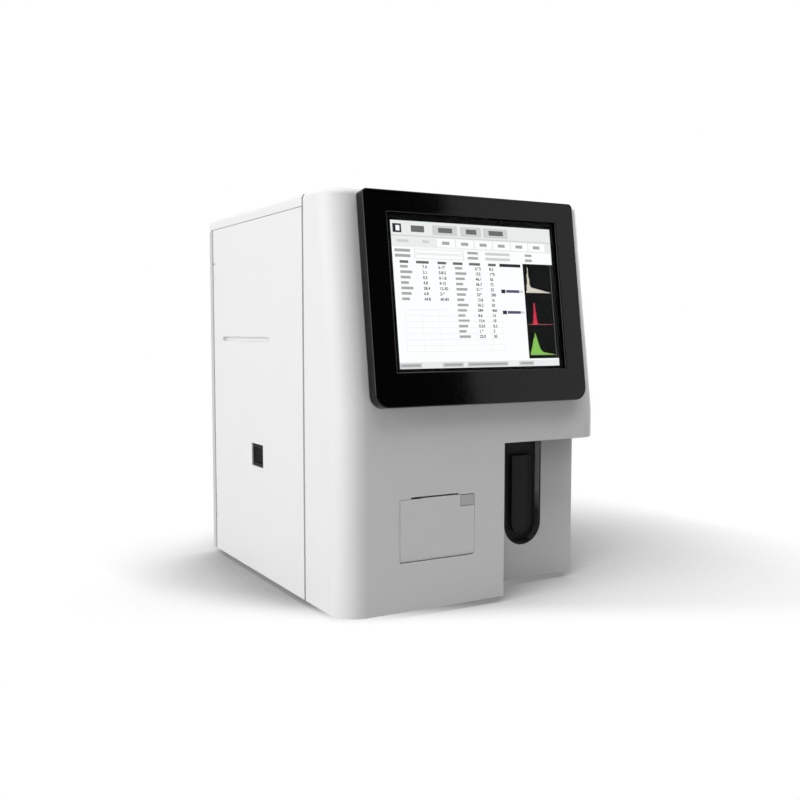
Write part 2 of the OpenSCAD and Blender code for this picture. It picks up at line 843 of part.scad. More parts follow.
module display_bezel() {
  color("#141414") in_body() on_face() difference() {
    slab_y(-bezel_proud, 0) translate([0, bezel_low]) rounded(bezel_w, bezel_h, bezel_r, bezel_top_r);
    slab_y(-bezel_proud - cut, 0)
      translate([-view_w / 2, screen_mid - view_h / 2]) square([view_w, view_h]);
    slab_y(glass_y, cut)
      translate([-view_w / 2 - glass_ledge, screen_mid - view_h / 2 - glass_ledge])
        square([view_w + 2 * glass_ledge, view_h + 2 * glass_ledge]);
  }
}

// A sheet that lies behind the bezel's edge, clear of its pocket all round
module behind_bezel(y0, y1) {
  w = view_w + 2 * glass_ledge - 2 * seat_fit;
  h = view_h + 2 * glass_ledge - 2 * seat_fit;
  in_body() on_face() slab_y(y0, y1) translate([-w / 2, screen_mid - h / 2]) square([w, h]);
}

module touch_glass() {
  color("#0c0d10") behind_bezel(glass_y, glass_y + glass_t);
}

module lcd_panel() {
  color("#c8d2dc") behind_bezel(glass_y + glass_t, 0);
}

module key_liner() {
  w = recess_w - 2 * seat_fit;
  top = recess_top - seat_fit;
  color("#101010") in_body() difference() {
    union() {
      slab_y(bay_d, liner_back) recess_plan(w, top);
      slab_y(bay_d + wall, bay_d + wall + liner_t)
        recess_plan(recess_w + 2 * liner_lip, recess_top + liner_lip);
      for (z = stems) rod_y(cup_r + liner_t, recess_floor, cup_end + liner_t, key_x, z);
      for (s = [-1, 1])
        rod_y(liner_t, recess_floor, plunger_y + plunger_l, key_x + s * key_switch_w * 0.4, key_mid);
    }
    slab_y(bay_d - cut, recess_floor) recess_plan(w - 2 * liner_t, top - liner_t);
    for (z = stems) {
      rod_y(cup_r, recess_floor - cut, cup_end, key_x, z);
      rod_y(stem_r + run_fit, cup_end - cut, cup_end + liner_t + cut, key_x, z);
    }
    rod_y(stem_r, recess_floor - cut, liner_back + cut, key_x, key_mid);
  }
}

module aspirate_key() {
  clip_t = 1.5;
  dish = 0.8;
  dish_in = 3;
  color("#2a2a2a") in_body() difference() {
    union() {
      slab_y(key_y, key_back) recess_plan(key_w, recess_mid + key_run);
      for (z = stems) {
        rod_y(stem_r, key_back - cut, cup_end + liner_t + free_gap + clip_t, key_x, z);
        rod_y(stem_r + 2, cup_end + liner_t + free_gap, cup_end + liner_t + free_gap + clip_t, key_x, z);
      }
      rod_y(stem_r - 0.5, key_back - cut, post_end, key_x, key_mid);
    }
    slab_y(key_y - cut, key_y + dish) recess_plan(key_w - 2 * dish_in, recess_mid + key_run - dish_in);
  }
}

// Points of a round coil along y: rings of the wire's section, one after the other
module coil(mean_r, wire_r, turns, y0, y1) {
  per_turn = 8;
  sides = 6;
  rings = turns * per_turn;
  points = [
    for (i = [0:rings], k = [0:sides - 1])
      let (a = 360 * i / per_turn, b = 360 * k / sides, r = mean_r + wire_r * cos(b))
        [r * cos(a), y0 + wire_r + (y1 - y0 - 2 * wire_r) * i / rings + wire_r * sin(b), r * sin(a)]
  ];
  walls = [
    for (i = [0:rings - 1], k = [0:sides - 1])
      let (p = i * sides + k, q = i * sides + (k + 1) % sides)
        each [[p, p + sides, q], [q, p + sides, q + sides]]
  ];
  ends = [
    for (k = [1:sides - 2])
      each [[0, k, k + 1], [rings * sides, rings * sides + k + 1, rings * sides + k]]
  ];
  polyhedron(points, concat(walls, ends));
}

module key_springs() {
  color("silver") in_body() for (z = stems)
    translate([key_x, 0, z])
      coil((stem_r + cup_r) / 2, spring_wire / 2, spring_turns, key_back + seat_fit, cup_end - seat_fit);
}

module key_switch() {
  front = plunger_y + plunger_l;
  color("#303030") in_body() {
    box([key_x - key_switch_w / 2, front, key_mid - key_switch_h / 2],
        [key_x + key_switch_w / 2, front + key_switch_d, key_mid + key_switch_h / 2]);
    rod_y(1.2, plunger_y, front + cut, key_x, key_mid);
  }
}

module recorder_frame() {
  guide_rise = 30;
  guide_t0 = 2;
  color("#3a3a3c") in_body() difference() {
    union() {
      difference() {
        box([box_x0, wall, box_z0], [box_x1, box_y1, box_z1]);
        box([box_x0 + rec_wall, wall - cut, box_z0 + rec_wall],
            [box_x1 - rec_wall, box_y1 - rec_wall, box_z1 - rec_wall]);
      }
      for (s = [-1, 1]) {
        gx = paper_x + s * (paper_w / 2 + guide_t0 / 2 + free_gap);
        box([gx - guide_t0 / 2, roll_front + 4, box_z0 + rec_wall / 2],
            [gx + guide_t0 / 2, box_y1 - rec_wall / 2, box_z0 + rec_wall + guide_rise]);
      }
      box([latch_x0 + 1, latch_guide_y, latch_z0 - 4],
          [box_x1 - rec_wall / 2, latch_guide_y + latch_guide_l, rec_top]);
    }
    rod_x(small_pin_r + run_fit, box_x0 - cut, box_x1 + cut, rec_hy, rec_hz);
    rod_y(latch_stem_r + run_fit, latch_guide_y - cut, latch_guide_y + latch_guide_l + cut,
          latch_x0 + latch_w / 2, latch_z0 + latch_h / 2);
  }
}

module recorder_door() {
  ear_half = 4;
  color("whitesmoke") in_body() difference() {
    union() {
      box([rec_x0, 0, rec_hz], [rec_x1, wall, rec_top]);
      rod_x(rec_barrel_r, rec_x0, rec_x1, rec_hy, rec_hz);
      for (x = [paper_x - ear_in - ear_t, paper_x + ear_in])
        box([x, wall - cut, platen_z - ear_half], [x + ear_t, platen_y + ear_half, platen_z + ear_half]);
    }
    rod_x(small_pin_r + run_fit, rec_x0 - cut, rec_x1 + cut, rec_hy, rec_hz);
    rod_x(small_pin_r + run_fit, paper_x - ear_in - ear_t - cut, paper_x + ear_in + ear_t + cut,
          platen_y, platen_z);
    box([latch_x0 - rec_gap, -cut, latch_z0 - rec_gap], [rec_x1 + cut, wall + cut, rec_top + cut]);
  }
}

module recorder_hinge_pin() {
  color("silver") in_body() rod_x(small_pin_r, box_x0, box_x1, rec_hy, rec_hz);
}

module recorder_latch() {
  clip_t = 1.5;
  stem_end = latch_guide_y + latch_guide_l + free_gap + clip_t;
  color("lightgray") in_body() {
    box([latch_x0, 0, latch_z0], [rec_x1, wall + rec_gap, rec_top]);
    translate([latch_x0 + latch_w / 2, 0, latch_z0 + latch_h / 2]) {
      rod_y(latch_stem_r, wall, stem_end, 0, 0);
      rod_y(latch_stem_r + 1.5, stem_end - clip_t, stem_end, 0, 0);
    }
  }
}

module platen_roller() {
  color("#1c1c1c") in_body() {
    rod_x(platen_r, paper_x - paper_w / 2, paper_x + paper_w / 2, platen_y, platen_z);
    rod_x(small_pin_r, paper_x - ear_in - ear_t - 2, paper_x + ear_in + ear_t, platen_y, platen_z);
  }
}

module thermal_head() {
  head_t = 4;
  fin_d = 10;
  fin_t = 2;
  y0 = platen_y + platen_r + free_gap;
  color("#8a8f94") in_body() {
    box([paper_x - paper_w / 2, y0, platen_z - platen_r],
        [paper_x + paper_w / 2, y0 + head_t, box_z1 - rec_wall]);
    for (i = [0:4])
      let (x = paper_x - paper_w / 2 + i * (paper_w - fin_t) / 4)
        box([x, y0 + head_t - cut, platen_z - platen_r],
            [x + fin_t, y0 + head_t + fin_d, box_z1 - rec_wall - fin_t]);
  }
}

module feed_motor() {
  color("#b0b4b8") in_body() {
    rod_x(feed_d / 2, box_x0 - feed_l, box_x0, platen_y + feed_d / 2, platen_z);
    box([box_x0 - 2, platen_y + feed_d / 2 - feed_d * 0.75, platen_z - feed_d / 4],
        [box_x0, platen_y + feed_d / 2 + feed_d * 0.75, platen_z + feed_d / 4]);
  }
}

module paper_roll() {
  color("white") in_body() difference() {
    rod_x(roll_d / 2, paper_x - paper_w / 2, paper_x + paper_w / 2, roll_y, roll_z);
    rod_x(core_d / 2, paper_x - paper_w / 2 - cut, paper_x + paper_w / 2 + cut, roll_y, roll_z);
  }
}

module switch_bracket() {
  low = switch_z - switch_h / 2 - bracket_edge;
  high = switch_z + switch_h / 2 + bracket_edge;
  y0 = switch_y - switch_w / 2 - bracket_edge;
  y1 = switch_y + switch_w / 2 + bracket_edge;
  hole_w = switch_body_w / 2 + seat_fit;
  hole_h = switch_body_h / 2 + seat_fit;
  color("silver") in_body() difference() {
    union() {
      box([bracket_x, y0, deck_z], [bracket_x + bracket_foot, y1, deck_z + sheet]);
      box([bracket_x, y0, deck_z], [bracket_x + sheet, y1, low + sheet]);
      box([turret_x, y0, low], [bracket_x + sheet, y1, low + sheet]);
      box([turret_x, y0, low], [turret_x + sheet, y1, high]);
    }
    box([turret_x - cut, switch_y - hole_w, switch_z - hole_h],
        [turret_x + sheet + cut, switch_y + hole_w, switch_z + hole_h]);
  }
}

module switch_housing() {
  cavity_w = rocker_w + 3;
  cavity_h = rocker_h + 2 * free_gap;
  blade_t = 1;
  blade_w = 6;
  blade_l = 8;
  blade_pitch = 9;
  back = turret_x + switch_d;
  color("#0c0c0c") in_body() difference() {
    union() {
      box([turret_x - switch_flange, switch_y - switch_w / 2, switch_z - switch_h / 2],
          [turret_x, switch_y + switch_w / 2, switch_z + switch_h / 2]);
      box([turret_x - cut, switch_y - switch_body_w / 2, switch_z - switch_body_h / 2],
          [back, switch_y + switch_body_w / 2, switch_z + switch_body_h / 2]);
      for (i = [-1:1])
        box([back - cut, switch_y + i * blade_pitch - blade_t / 2, switch_z - blade_w / 2],
            [back + blade_l, switch_y + i * blade_pitch + blade_t / 2, switch_z + blade_w / 2]);
    }
    box([turret_x - switch_flange - cut, switch_y - cavity_w / 2, switch_z - cavity_h / 2],
        [rocker_x + rocker_keel + 4, switch_y + cavity_w / 2, switch_z + cavity_h / 2]);
    rod_z(small_pin_r + run_fit, switch_z - switch_body_h / 2 - cut, switch_z + switch_body_h / 2 + cut,
          rocker_x, switch_y);
  }
}

module switch_rocker() {
  half = rocker_w / 2;
  color("#161616") in_body() {
    translate([rocker_x, switch_y, switch_z - rocker_h / 2]) rotate([0, 0, rocker_lean])
      linear_extrude(rocker_h) polygon([
        [rocker_keel, -half], [-rocker_face, -half], [rocker_dish - rocker_face, 0],
        [-rocker_face, half], [rocker_keel, half]
      ]);
    rod_z(small_pin_r, switch_z - rocker_h / 2 - 1.8, switch_z + rocker_h / 2 + 1.8, rocker_x, switch_y);
  }
}

module power_inlet() {
  ear = 11.5;
  brim = 3;
  flange_w = inlet_w + 2 * ear;
  flange_h = inlet_h + 2 * brim;
  flange_t = 3;
  body_l = 22;
  lip_t = 2;
  pocket = 17;
  pin_l = 12;
  pin_pitch = 7;
  pin_h = 4;
  face = body_d + flange_t;
  color("#121212") in_body() difference() {
    union() {
      box([inlet_x - flange_w / 2, body_d, inlet_z - flange_h / 2],
          [inlet_x + flange_w / 2, face, inlet_z + flange_h / 2]);
      box([inlet_x - inlet_w / 2, body_d - body_l, inlet_z - inlet_h / 2],
          [inlet_x + inlet_w / 2, body_d + cut, inlet_z + inlet_h / 2]);
    }
    difference() {
      box([inlet_x - inlet_w / 2 + lip_t, face - pocket, inlet_z - inlet_h / 2 + lip_t],
          [inlet_x + inlet_w / 2 - lip_t, face + cut, inlet_z + inlet_h / 2 - lip_t]);
      for (i = [-1:1])
        translate([inlet_x + i * pin_pitch, 0, inlet_z + (i == 0 ? 0 : -pin_h)])
          box([-pin_h / 4, face - pocket - cut, 0], [pin_h / 4, face - pocket + pin_l, pin_h]);
    }
  }
}

module power_supply() {
  x0 = post_x + sheet + supply_gap;
  x1 = x0 + supply_w;
  y1 = rear_in - supply_rear;
  y0 = y1 - supply_d;
  z1 = deck_z + supply_h;
  fins = 8;
  louvre_w = 3;
  louvre_in = 12;
  louvre_end = 15;
  louvre_pitch = (supply_w - 2 * louvre_in) / (fins - 1);
  color("#9ea3a7") in_body() difference() {
    box([x0, y0, deck_z], [x1, y1, z1]);
    box([x0 + sheet, y0 + sheet, deck_z + sheet], [x1 - sheet, y1 - sheet, z1 - sheet]);
    for (i = [0:fins - 1])
      translate([x0 + louvre_in + i * louvre_pitch, 0, 0])
        box([-louvre_w / 2, y0 + louvre_end, z1 - sheet - cut], [louvre_w / 2, y1 - louvre_end, z1 + cut]);
  }
}

module sampler_plate() {
  color("#c9ccd0") in_body() difference() {
    union() {
      box([bulk_r, plate_y0, plate_z0], [rail_x, plate_y1, plate_z1]);
      rod_x(axle_r, rail_x - cut, belt_x + belt_w + belt_gap, idler_y, belt_mid);
    }
    rod_x(shaft_r + 1, bulk_r - cut, rail_x + cut, drive_y, belt_mid);
  }
}

module sampler_rail() {
  color("#a7abb0") in_body()
    box([rail_x, carriage_y - rail_spare, rail_z - rail_w / 2],
        [rail_x + rail_h, carriage_y + carriage_l + probe_travel + rail_spare, rail_z + rail_w / 2]);
}

module sampler_carriage() {
  y0 = carriage_y;
  y1 = carriage_y + carriage_l;
  shelf_x = screw_x + screw_off;
  clamp_y0 = y0 + clamp_in;
  clamp_y1 = y1 - clamp_in;
  run_z = belt_mid - pulley_r - free_gap - belt_t;
  color("#b9bdc2") in_body() difference() {
    union() {
      box([block_x, y0, rail_z - block_half], [tower_x + cut, y1, rail_z + block_half]);
      box([tower_x, y0, tower_low], [tower_face, y1, tower_high + tower_foot]);
      for (z = [tower_low, tower_high])
        box([tower_x, y0, z], [shelf_x, y1, z + tower_foot]);
      box([tower_face - cut, guide_y - guide_w / 2, tower_low + cut],
          [tower_face + guide_t, guide_y + guide_w / 2, tower_high + cut]);
      box([belt_x, clamp_y0, rail_z + block_half - cut], [tower_x, clamp_y1, run_z - free_gap]);
      box([belt_x + belt_w + free_gap, clamp_y0, rail_z + block_half - cut],
          [tower_x, clamp_y1, run_z + belt_t + clamp_t]);
      box([belt_x, clamp_y0, run_z + belt_t + free_gap], [tower_x, clamp_y1, run_z + belt_t + clamp_t]);
    }
    box([rail_x - cut, y0 - cut, rail_z - rail_w / 2 - free_gap],
        [rail_x + rail_h + free_gap, y1 + cut, rail_z + rail_w / 2 + free_gap]);
    for (z = [tower_low, tower_high])
      rod_z(screw_r + run_fit, z - cut, z + tower_foot + cut, screw_x, screw_y);
  }
}

module lift_motor() {
  z0 = tower_high + tower_foot;
  color("#2e3033") in_body() difference() {
    box([screw_x - lift_motor_w / 2, screw_y - lift_motor_w / 2, z0],
        [screw_x + lift_motor_w / 2, screw_y + lift_motor_w / 2, z0 + lift_motor_w]);
    rod_z(screw_r + run_fit, z0 - cut, z0 + screw_sink + cut, screw_x, screw_y);
  }
}

module lift_screw() {
  color("#d0d3d6") in_body()
    rod_z(screw_r, tower_low + cut, tower_high + tower_foot + screw_sink, screw_x, screw_y);
}

module probe_arm() {
  arm_t = 10;
  arm_in = 2;
  bar_z = arm_z + (arm_h - arm_t) / 2;
  x0 = tower_face + arm_in;
  x1 = screw_x + screw_off - arm_in;
  y0 = carriage_y + arm_in;
  y1 = carriage_y + carriage_l - arm_in;
  color("#b3b8be") in_body() difference() {
    union() {
      box([x0, y0, arm_z], [x1, y1, arm_z + arm_h]);
      box([screw_x, y0, bar_z], [key_x + arm_t / 2, y0 + arm_t, bar_z + arm_t]);
      box([key_x - arm_t / 2, probe_y - arm_t / 2, bar_z], [key_x + arm_t / 2, y0 + arm_t, bar_z + arm_t]);
    }
    box([x0 - cut, guide_y - guide_w / 2 - free_gap, arm_z - cut],
        [tower_face + guide_t + free_gap, guide_y + guide_w / 2 + free_gap, arm_z + arm_h + cut]);
    rod_z(screw_r + free_gap, arm_z - cut, arm_z + arm_h + cut, screw_x, screw_y);
    rod_z(probe_r + seat_fit, bar_z - cut, bar_z + arm_t + cut, key_x, probe_y);
  }
}

module sample_probe() {
  hub_z = arm_z + arm_h * 0.75;
  hub_r = 3.5;
  hub_h = 9;
  stub_r = 1.5;
  color("#dfe3e6") in_body() {
    rod_z(probe_r, probe_tip, hub_z + cut, key_x, probe_y);
    rod_z(hub_r, hub_z, hub_z + hub_h, key_x, probe_y);
    rod_z(stub_r, hub_z + hub_h - cut, hub_z + 2 * hub_h - 2 * cut, key_x, probe_y);
  }
}

module wash_block() {
  arm_w = 8;
  x1 = key_x + wash_w / 2;
  color("#e8e2d0") in_body() difference() {
    union() {
      box([key_x - wash_w / 2, probe_y - wash_w / 2, wash_z], [x1, probe_y + wash_w / 2, wash_z + wash_h]);
      box([key_x - arm_w / 2, probe_y, wash_z + wash_step],
          [key_x + arm_w / 2, carriage_y + arm_w, tower_low]);
      box([tower_x, carriage_y, wash_z + wash_step], [key_x + arm_w / 2, carriage_y + arm_w, tower_low]);
    }
    rod_z(probe_r + cut / 2, wash_z - cut, wash_z + wash_h + cut, key_x, probe_y);
  }
}

// Square stepper with its corners cut, its shaft along +x from a face at x1
module stepper_x(x1, y, z) {
  h = motor_w / 2;
  c = 5;
  slab_x(x1 - motor_l, x1) translate([y, z])
    polygon([
      [-h, c - h], [c - h, -h], [h - c, -h], [h, c - h],
      [h, h - c], [h - c, h], [c - h, h], [-h, h - c]
    ]);
}

module travel_motor() {
  color("#2e3033") in_body() difference() {
    stepper_x(bulk_x, drive_y, belt_mid);
    rod_x(shaft_r + run_fit, bulk_x - shaft_sink - free_gap, bulk_x + cut, drive_y, belt_mid);
  }
}

module belt_pulley(y, bore_r) {
  in_body() difference() {
    union() {
      rod_x(pulley_r, belt_x - free_gap, belt_x + belt_w + free_gap, y, belt_mid);
      rod_x(pulley_r + belt_t / 2, belt_x + belt_w + free_gap, belt_x + belt_w + free_gap + cut, y, belt_mid);
    }
    rod_x(bore_r, belt_x - cut, belt_x + belt_w + 2 * cut, y, belt_mid);
    rod_x(cut, belt_x - cut, belt_x + belt_w + 2 * cut, y + pulley_r * 0.7, belt_mid);
  }
}

module drive_pulley() {
  color("#c2a35a") {
    belt_pulley(drive_y, shaft_r / 2);
    in_body() rod_x(shaft_r, bulk_x - shaft_sink, belt_x + belt_w + 2 * cut, drive_y, belt_mid);
  }
}

module idler_pulley() {
  color("#c2a35a") belt_pulley(idler_y, axle_r + run_fit);
}

module travel_belt() {
  r0 = pulley_r + free_gap;
  color("#181818") in_body() difference() {
    union() {
      for (y = [idler_y, drive_y]) rod_x(r0 + belt_t, belt_x, belt_x + belt_w, y, belt_mid);
      box([belt_x, idler_y, belt_mid - r0 - belt_t], [belt_x + belt_w, drive_y, belt_mid + r0 + belt_t]);
    }
    for (y = [idler_y, drive_y]) rod_x(r0, belt_x - cut, belt_x + belt_w + cut, y, belt_mid);
    box([belt_x - cut, idler_y, belt_mid - r0], [belt_x + belt_w + cut, drive_y, belt_mid + r0]);
  }
}

module cell_bath(y) {
  lug_w = 12;
  lug_d = 8;
  lug_h = 18;
  in_body() difference() {
    union() {
      rod_z(bath_r, bath_low - bath_wall, bath_top, key_x, y);
      rod_z(bath_r + bath_collar, shelf_z + shelf_t, shelf_z + shelf_t + bath_collar, key_x, y);
      rod_z(spigot_r, bath_low - bath_wall - stub_l, bath_low, key_x, y);
      box([key_x + bath_r - lug_d / 2, y - lug_w / 2, bath_low + lug_d],
          [key_x + bath_r + lug_d, y + lug_w / 2, bath_low + lug_d + lug_h]);
    }
    rod_z(bath_r - bath_wall, bath_low, bath_top + cut, key_x, y);
    rod_z(spigot_r / 2, bath_low - bath_wall - stub_l - cut, bath_low + cut, key_x, y);
  }
}

module white_cell_bath() {
  color("#e9e6dc") cell_bath(baths[0]);
}

module red_cell_bath() {
  color("#e9e6dc") cell_bath(baths[1]);
}

module bath_bracket() {
  y0 = baths[0] - bath_r - bath_edge;
  y1 = baths[1] + bath_r + bath_edge;
  color("#b9bdc2") in_body() difference() {
    union() {
      box([bulk_r, y0, shelf_z], [key_x + bath_r + bath_edge, y1, shelf_z + shelf_t]);
      box([bulk_r, frame_y, shelf_z], [bulk_r + shelf_t, y1, shelf_z + bath_foot]);
    }
    for (y = baths) rod_z(bath_r + seat_fit, shelf_z - cut, shelf_z + shelf_t + cut, key_x, y);
  }
}

module syringe_frame() {
  y0 = syringe_y - syringe_edge;
  y1 = syringe_y + syringe_edge;
  x0 = syringe_x - syringe_r - syringe_lap;
  x1 = bulk_x - syringe_back;
  color("#b9bdc2") in_body() difference() {
    union() {
      box([x1, y0, syringe_z0], [bulk_x, y1, syringe_top + syringe_t]);
      for (z = [syringe_z0, syringe_top])
        box([x0, y0 + syringe_step, z], [x1 + cut, y1 - syringe_step, z + syringe_t]);
    }
    for (z = [syringe_z0, syringe_top])
      rod_z(screw_r + run_fit, z - cut, z + syringe_t + cut, drive_screw_x, syringe_y);
    rod_z(nozzle_r + seat_fit, syringe_top - cut, syringe_top + syringe_t + cut, syringe_x, syringe_y);
  }
}

module syringe_barrel() {
  z0 = syringe_top - syringe_l;
  crown = 5;
  color("#cfe3ea") in_body() difference() {
    union() {
      rod_z(syringe_r, z0, syringe_top, syringe_x, syringe_y);
      rod_z(nozzle_r, syringe_top - cut, syringe_top + syringe_t + nozzle_l, syringe_x, syringe_y);
    }
    rod_z(syringe_r - syringe_wall, z0 - cut, syringe_top - crown, syringe_x, syringe_y);
    rod_z(nozzle_bore, syringe_top - crown - cut, syringe_top + syringe_t + nozzle_l + cut,
          syringe_x, syringe_y);
  }
}

module syringe_plunger() {
  x1 = bulk_x - syringe_back - free_gap;
  color("#d8d8d8") in_body() difference() {
    union() {
      rod_z(syringe_r - syringe_wall - run_fit, piston_z, piston_z + piston_t, syringe_x, syringe_y);
      rod_z(nozzle_r, block_rest, piston_z + cut, syringe_x, syringe_y);
      box([syringe_x - block_side, syringe_y - block_w / 2, block_rest],
          [x1, syringe_y + block_w / 2, block_rest + block_t]);
    }
    rod_z(screw_r + run_fit, block_rest - cut, block_rest + block_t + cut, drive_screw_x, syringe_y);
  }
}

module syringe_screw() {
  color("#d0d3d6") in_body()
    rod_z(screw_r, syringe_z0 - screw_sink + cut, syringe_top + syringe_t - cut, drive_screw_x, syringe_y);
}

module syringe_motor() {
  h = motor_w / 2;
  x1 = bulk_x - free_gap;
  color("#2e3033") in_body() difference() {
    box([x1 - motor_w, syringe_y - h, syringe_z0 - motor_l], [x1, syringe_y + h, syringe_z0]);
    rod_z(screw_r + run_fit, syringe_z0 - screw_sink, syringe_z0 + cut, drive_screw_x, syringe_y);
  }
}

module valve_bank() {
  block_d = 22;
  block_h = 26;
  valve_w = 16;
  valve_l = 34;
  yoke_gap = 4;
  yoke_l = 10;
  yoke_in = 3;
  x1 = bulk_x - block_d;
  span = valve_count * valve_pitch;
  color("#d9c9a0") in_body() {
    box([bulk_x - block_d, valve_y, valve_z], [bulk_x, valve_y + span, valve_z + block_h]);
    for (i = [0:valve_count - 1]) {
      y = valve_y + (i + 0.5) * valve_pitch;
      rod_x(valve_w / 2, x1 - valve_l, x1, y, valve_z + block_h / 2);
      box([x1 - yoke_gap - yoke_l, y - valve_w / 2, valve_z + yoke_in],
          [x1 - yoke_gap, y + valve_w / 2, valve_z + block_h - yoke_in]);
      rod_z(spigot_r, valve_z - stub_l, valve_z + cut, bulk_x - block_d / 2, y);
    }
  }
}

module pumps() {
  head_w = 2 * pump_r + 2 * pump_rim;
  y1 = pump_y + pump_head;
  color("#3b4046") in_body() for (x = pump_x) {
    box([x - head_w / 2, pump_y, deck_z], [x + head_w / 2, y1, deck_z + head_w]);
    rod_y(pump_r, y1 - cut, y1 + pump_l, x, deck_z + head_w / 2);
    box([x - pump_r * 0.7, y1 - cut, deck_z], [x + pump_r * 0.7, y1 + pump_l * 0.7, deck_z + head_w / 2]);
    for (s = [-1, 1])
      rod_y(spigot_r, pump_y - stub_l, pump_y + cut, x + s * head_w / 4, deck_z + head_w * 0.75);
  }
}

module vacuum_chamber() {
  cap_h = 14;
  cap_lip = 3;
  x = bulk_x - chamber_r - chamber_gap;
  y = pump_y + pump_head + pump_l + chamber_r + chamber_room;
  z1 = deck_z + chamber_h;
  color("#dfe4e2") in_body() {
    rod_z(chamber_r, deck_z, z1 - cap_h, x, y);
    rod_z(chamber_r + cap_lip, z1 - cap_h - cut, z1, x, y);
    for (s = [-1, 1]) rod_z(spigot_r, z1 - cut, z1 + stub_l, x + s * chamber_r / 2, y);
  }
}

module reagent_ports() {
  tail_l = 12;
  color("#cfd3d6") in_body() for (x = hose_x) difference() {
    union() {
      translate([x, body_d + nut_t, hose_z]) rotate([90, 0, 0])
        cylinder(r = nut_r, h = nut_t, $fn = 6);
      rod_y(spigot_r, body_d + nut_t - cut, body_d + nut_t + spigot_l, x, hose_z);
      rod_y(nut_r - nut_flat, rear_in - tail_l, body_d + cut, x, hose_z);
    }
    rod_y(spigot_r / 2, rear_in - tail_l - cut, body_d + nut_t + spigot_l + cut, x, hose_z);
  }
}

module main_board() {
  x0 = bulk_r + standoff_l;
  x1 = x0 + board_t;
  y1 = rear_in - board_edge;
  y0 = y1 - board_l;
  z0 = plate_z0 - board_drop - board_h;
  z1 = z0 + board_h;
  stand_r = 3;
  // Middle of each part as a share of the board, then its size as a share of the processor's
  chips = [
    [0.30, 0.29, 1, 1, 0.13], [0.64, 0.32, 0.73, 0.73, 0.1], [0.35, 0.66, 0.87, 1.33, 0.4],
    [0.75, 0.69, 1.2, 0.8, 0.3], [0.34, 0.88, 2, 0.33, 0.33], [0.80, 0.09, 1, 0.33, 0.33]
  ];
  color("#1f6b3a") in_body() {
    box([x0, y0, z0], [x1, y1, z1]);
    for (y = [y0 + board_inset, y1 - board_inset], z = [z0 + board_inset, z1 - board_inset])
      rod_x(stand_r, bulk_r, x0 + cut, y, z);
    for (c = chips) {
      half_l = c[2] * board_chip / 2;
      half_h = c[3] * board_chip / 2;
      translate([0, y0 + c[0] * board_l, z0 + c[1] * board_h])
        box([x1 - cut, -half_l, -half_h], [x1 + c[4] * board_chip, half_l, half_h]);
    }
  }
}

module port_block() {
  depth = 20;
  lip = 3;
  reach = 1;
  socket_d = 14;
  slot_w = 13;
  slot_h = 6;
  slot_pitch = 19;
  slot_x = -22;
  jack_w = 16;
  jack_h = 12;
  jack_x = 20;
  y1 = body_d + reach;
  color("#8f969c") in_body() difference() {
    union() {
      box([port_x - port_w / 2, rear_in - depth, port_z - port_h / 2],
          [port_x + port_w / 2, y1, port_z + port_h / 2]);
      box([port_x - port_w / 2 - lip, rear_in - depth, port_z - port_h / 2 - lip],
          [port_x + port_w / 2 + lip, rear_in, port_z + port_h / 2 + lip]);
    }
    for (x = [port_x + slot_x, port_x + slot_x + slot_pitch])
      box([x - slot_w / 2, y1 - socket_d, port_z - slot_h / 2],
          [x + slot_w / 2, y1 + cut, port_z + slot_h / 2]);
    box([port_x + jack_x - jack_w / 2, y1 - socket_d, port_z - jack_h / 2],
        [port_x + jack_x + jack_w / 2, y1 + cut, port_z + jack_h / 2]);
  }
}

module fan_frame() {
  strut_w = 4;
  y0 = rear_in - fan_d;
  h = fan_w / 2;
  color("#1a1a1a") in_body() translate([fan_x, 0, fan_z]) {
    difference() {
      box([-h, y0, -h], [h, rear_in, h]);
      rod_y(ring_r, y0 - cut, rear_in + cut, 0, 0);
    }
    rod_y(fan_hub_r, y0, y0 + strut_t, 0, 0);
    rod_y(shaft_r, y0, rear_in - fan_rim, 0, 0);
    for (a = [45:90:315]) rotate([0, a, 0])
      box([fan_hub_r - cut, y0, -strut_w / 2], [ring_r + cut, y0 + strut_t, strut_w / 2]);
  }
}

module fan_rotor() {
  blades = 7;
  blade_t = 2;
  blade_w = 18;
  blade_pitch = 50;
  y0 = rear_in - fan_d + strut_t + cut;
  y1 = rear_in - strut_t;
  color("#262626") in_body() translate([fan_x, 0, fan_z]) difference() {
    union() {
      rod_y(fan_hub_r, y0, y1, 0, 0);
      for (i = [0:blades - 1]) rotate([0, i * 360 / blades, 0])
        translate([fan_hub_r - blade_t, (y0 + y1) / 2, 0]) rotate([blade_pitch, 0, 0])
          box([0, -blade_t / 2, -blade_w / 2], [ring_r - fan_hub_r, blade_t / 2, blade_w / 2]);
    }
    rod_y(shaft_r + run_fit, y0 - cut, y1 + cut, 0, 0);
  }
}

base_tray();
front_frame();
bulkhead();
rear_panel();
hinge_post();
top_cover();
right_cover();
left_door();
door_hinge_pins();
front_cover();
feet();
cover_screws();
display_bezel();
touch_glass();
lcd_panel();
key_liner();
aspirate_key();
key_springs();
key_switch();
recorder_frame();
recorder_door();
recorder_hinge_pin();
recorder_latch();
platen_roller();
thermal_head();
feed_motor();
paper_roll();
switch_bracket();
switch_housing();
switch_rocker();
power_inlet();
power_supply();
sampler_plate();
sampler_rail();
sampler_carriage();
lift_motor();
lift_screw();
probe_arm();
sample_probe();
wash_block();
travel_motor();
drive_pulley();
idler_pulley();
travel_belt();
white_cell_bath();
red_cell_bath();
bath_bracket();
syringe_frame();
syringe_barrel();
syringe_plunger();
syringe_screw();
syringe_motor();
valve_bank();
pumps();
vacuum_chamber();
reagent_ports();
main_board();
port_block();
fan_frame();
fan_rotor();
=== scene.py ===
import json
import math

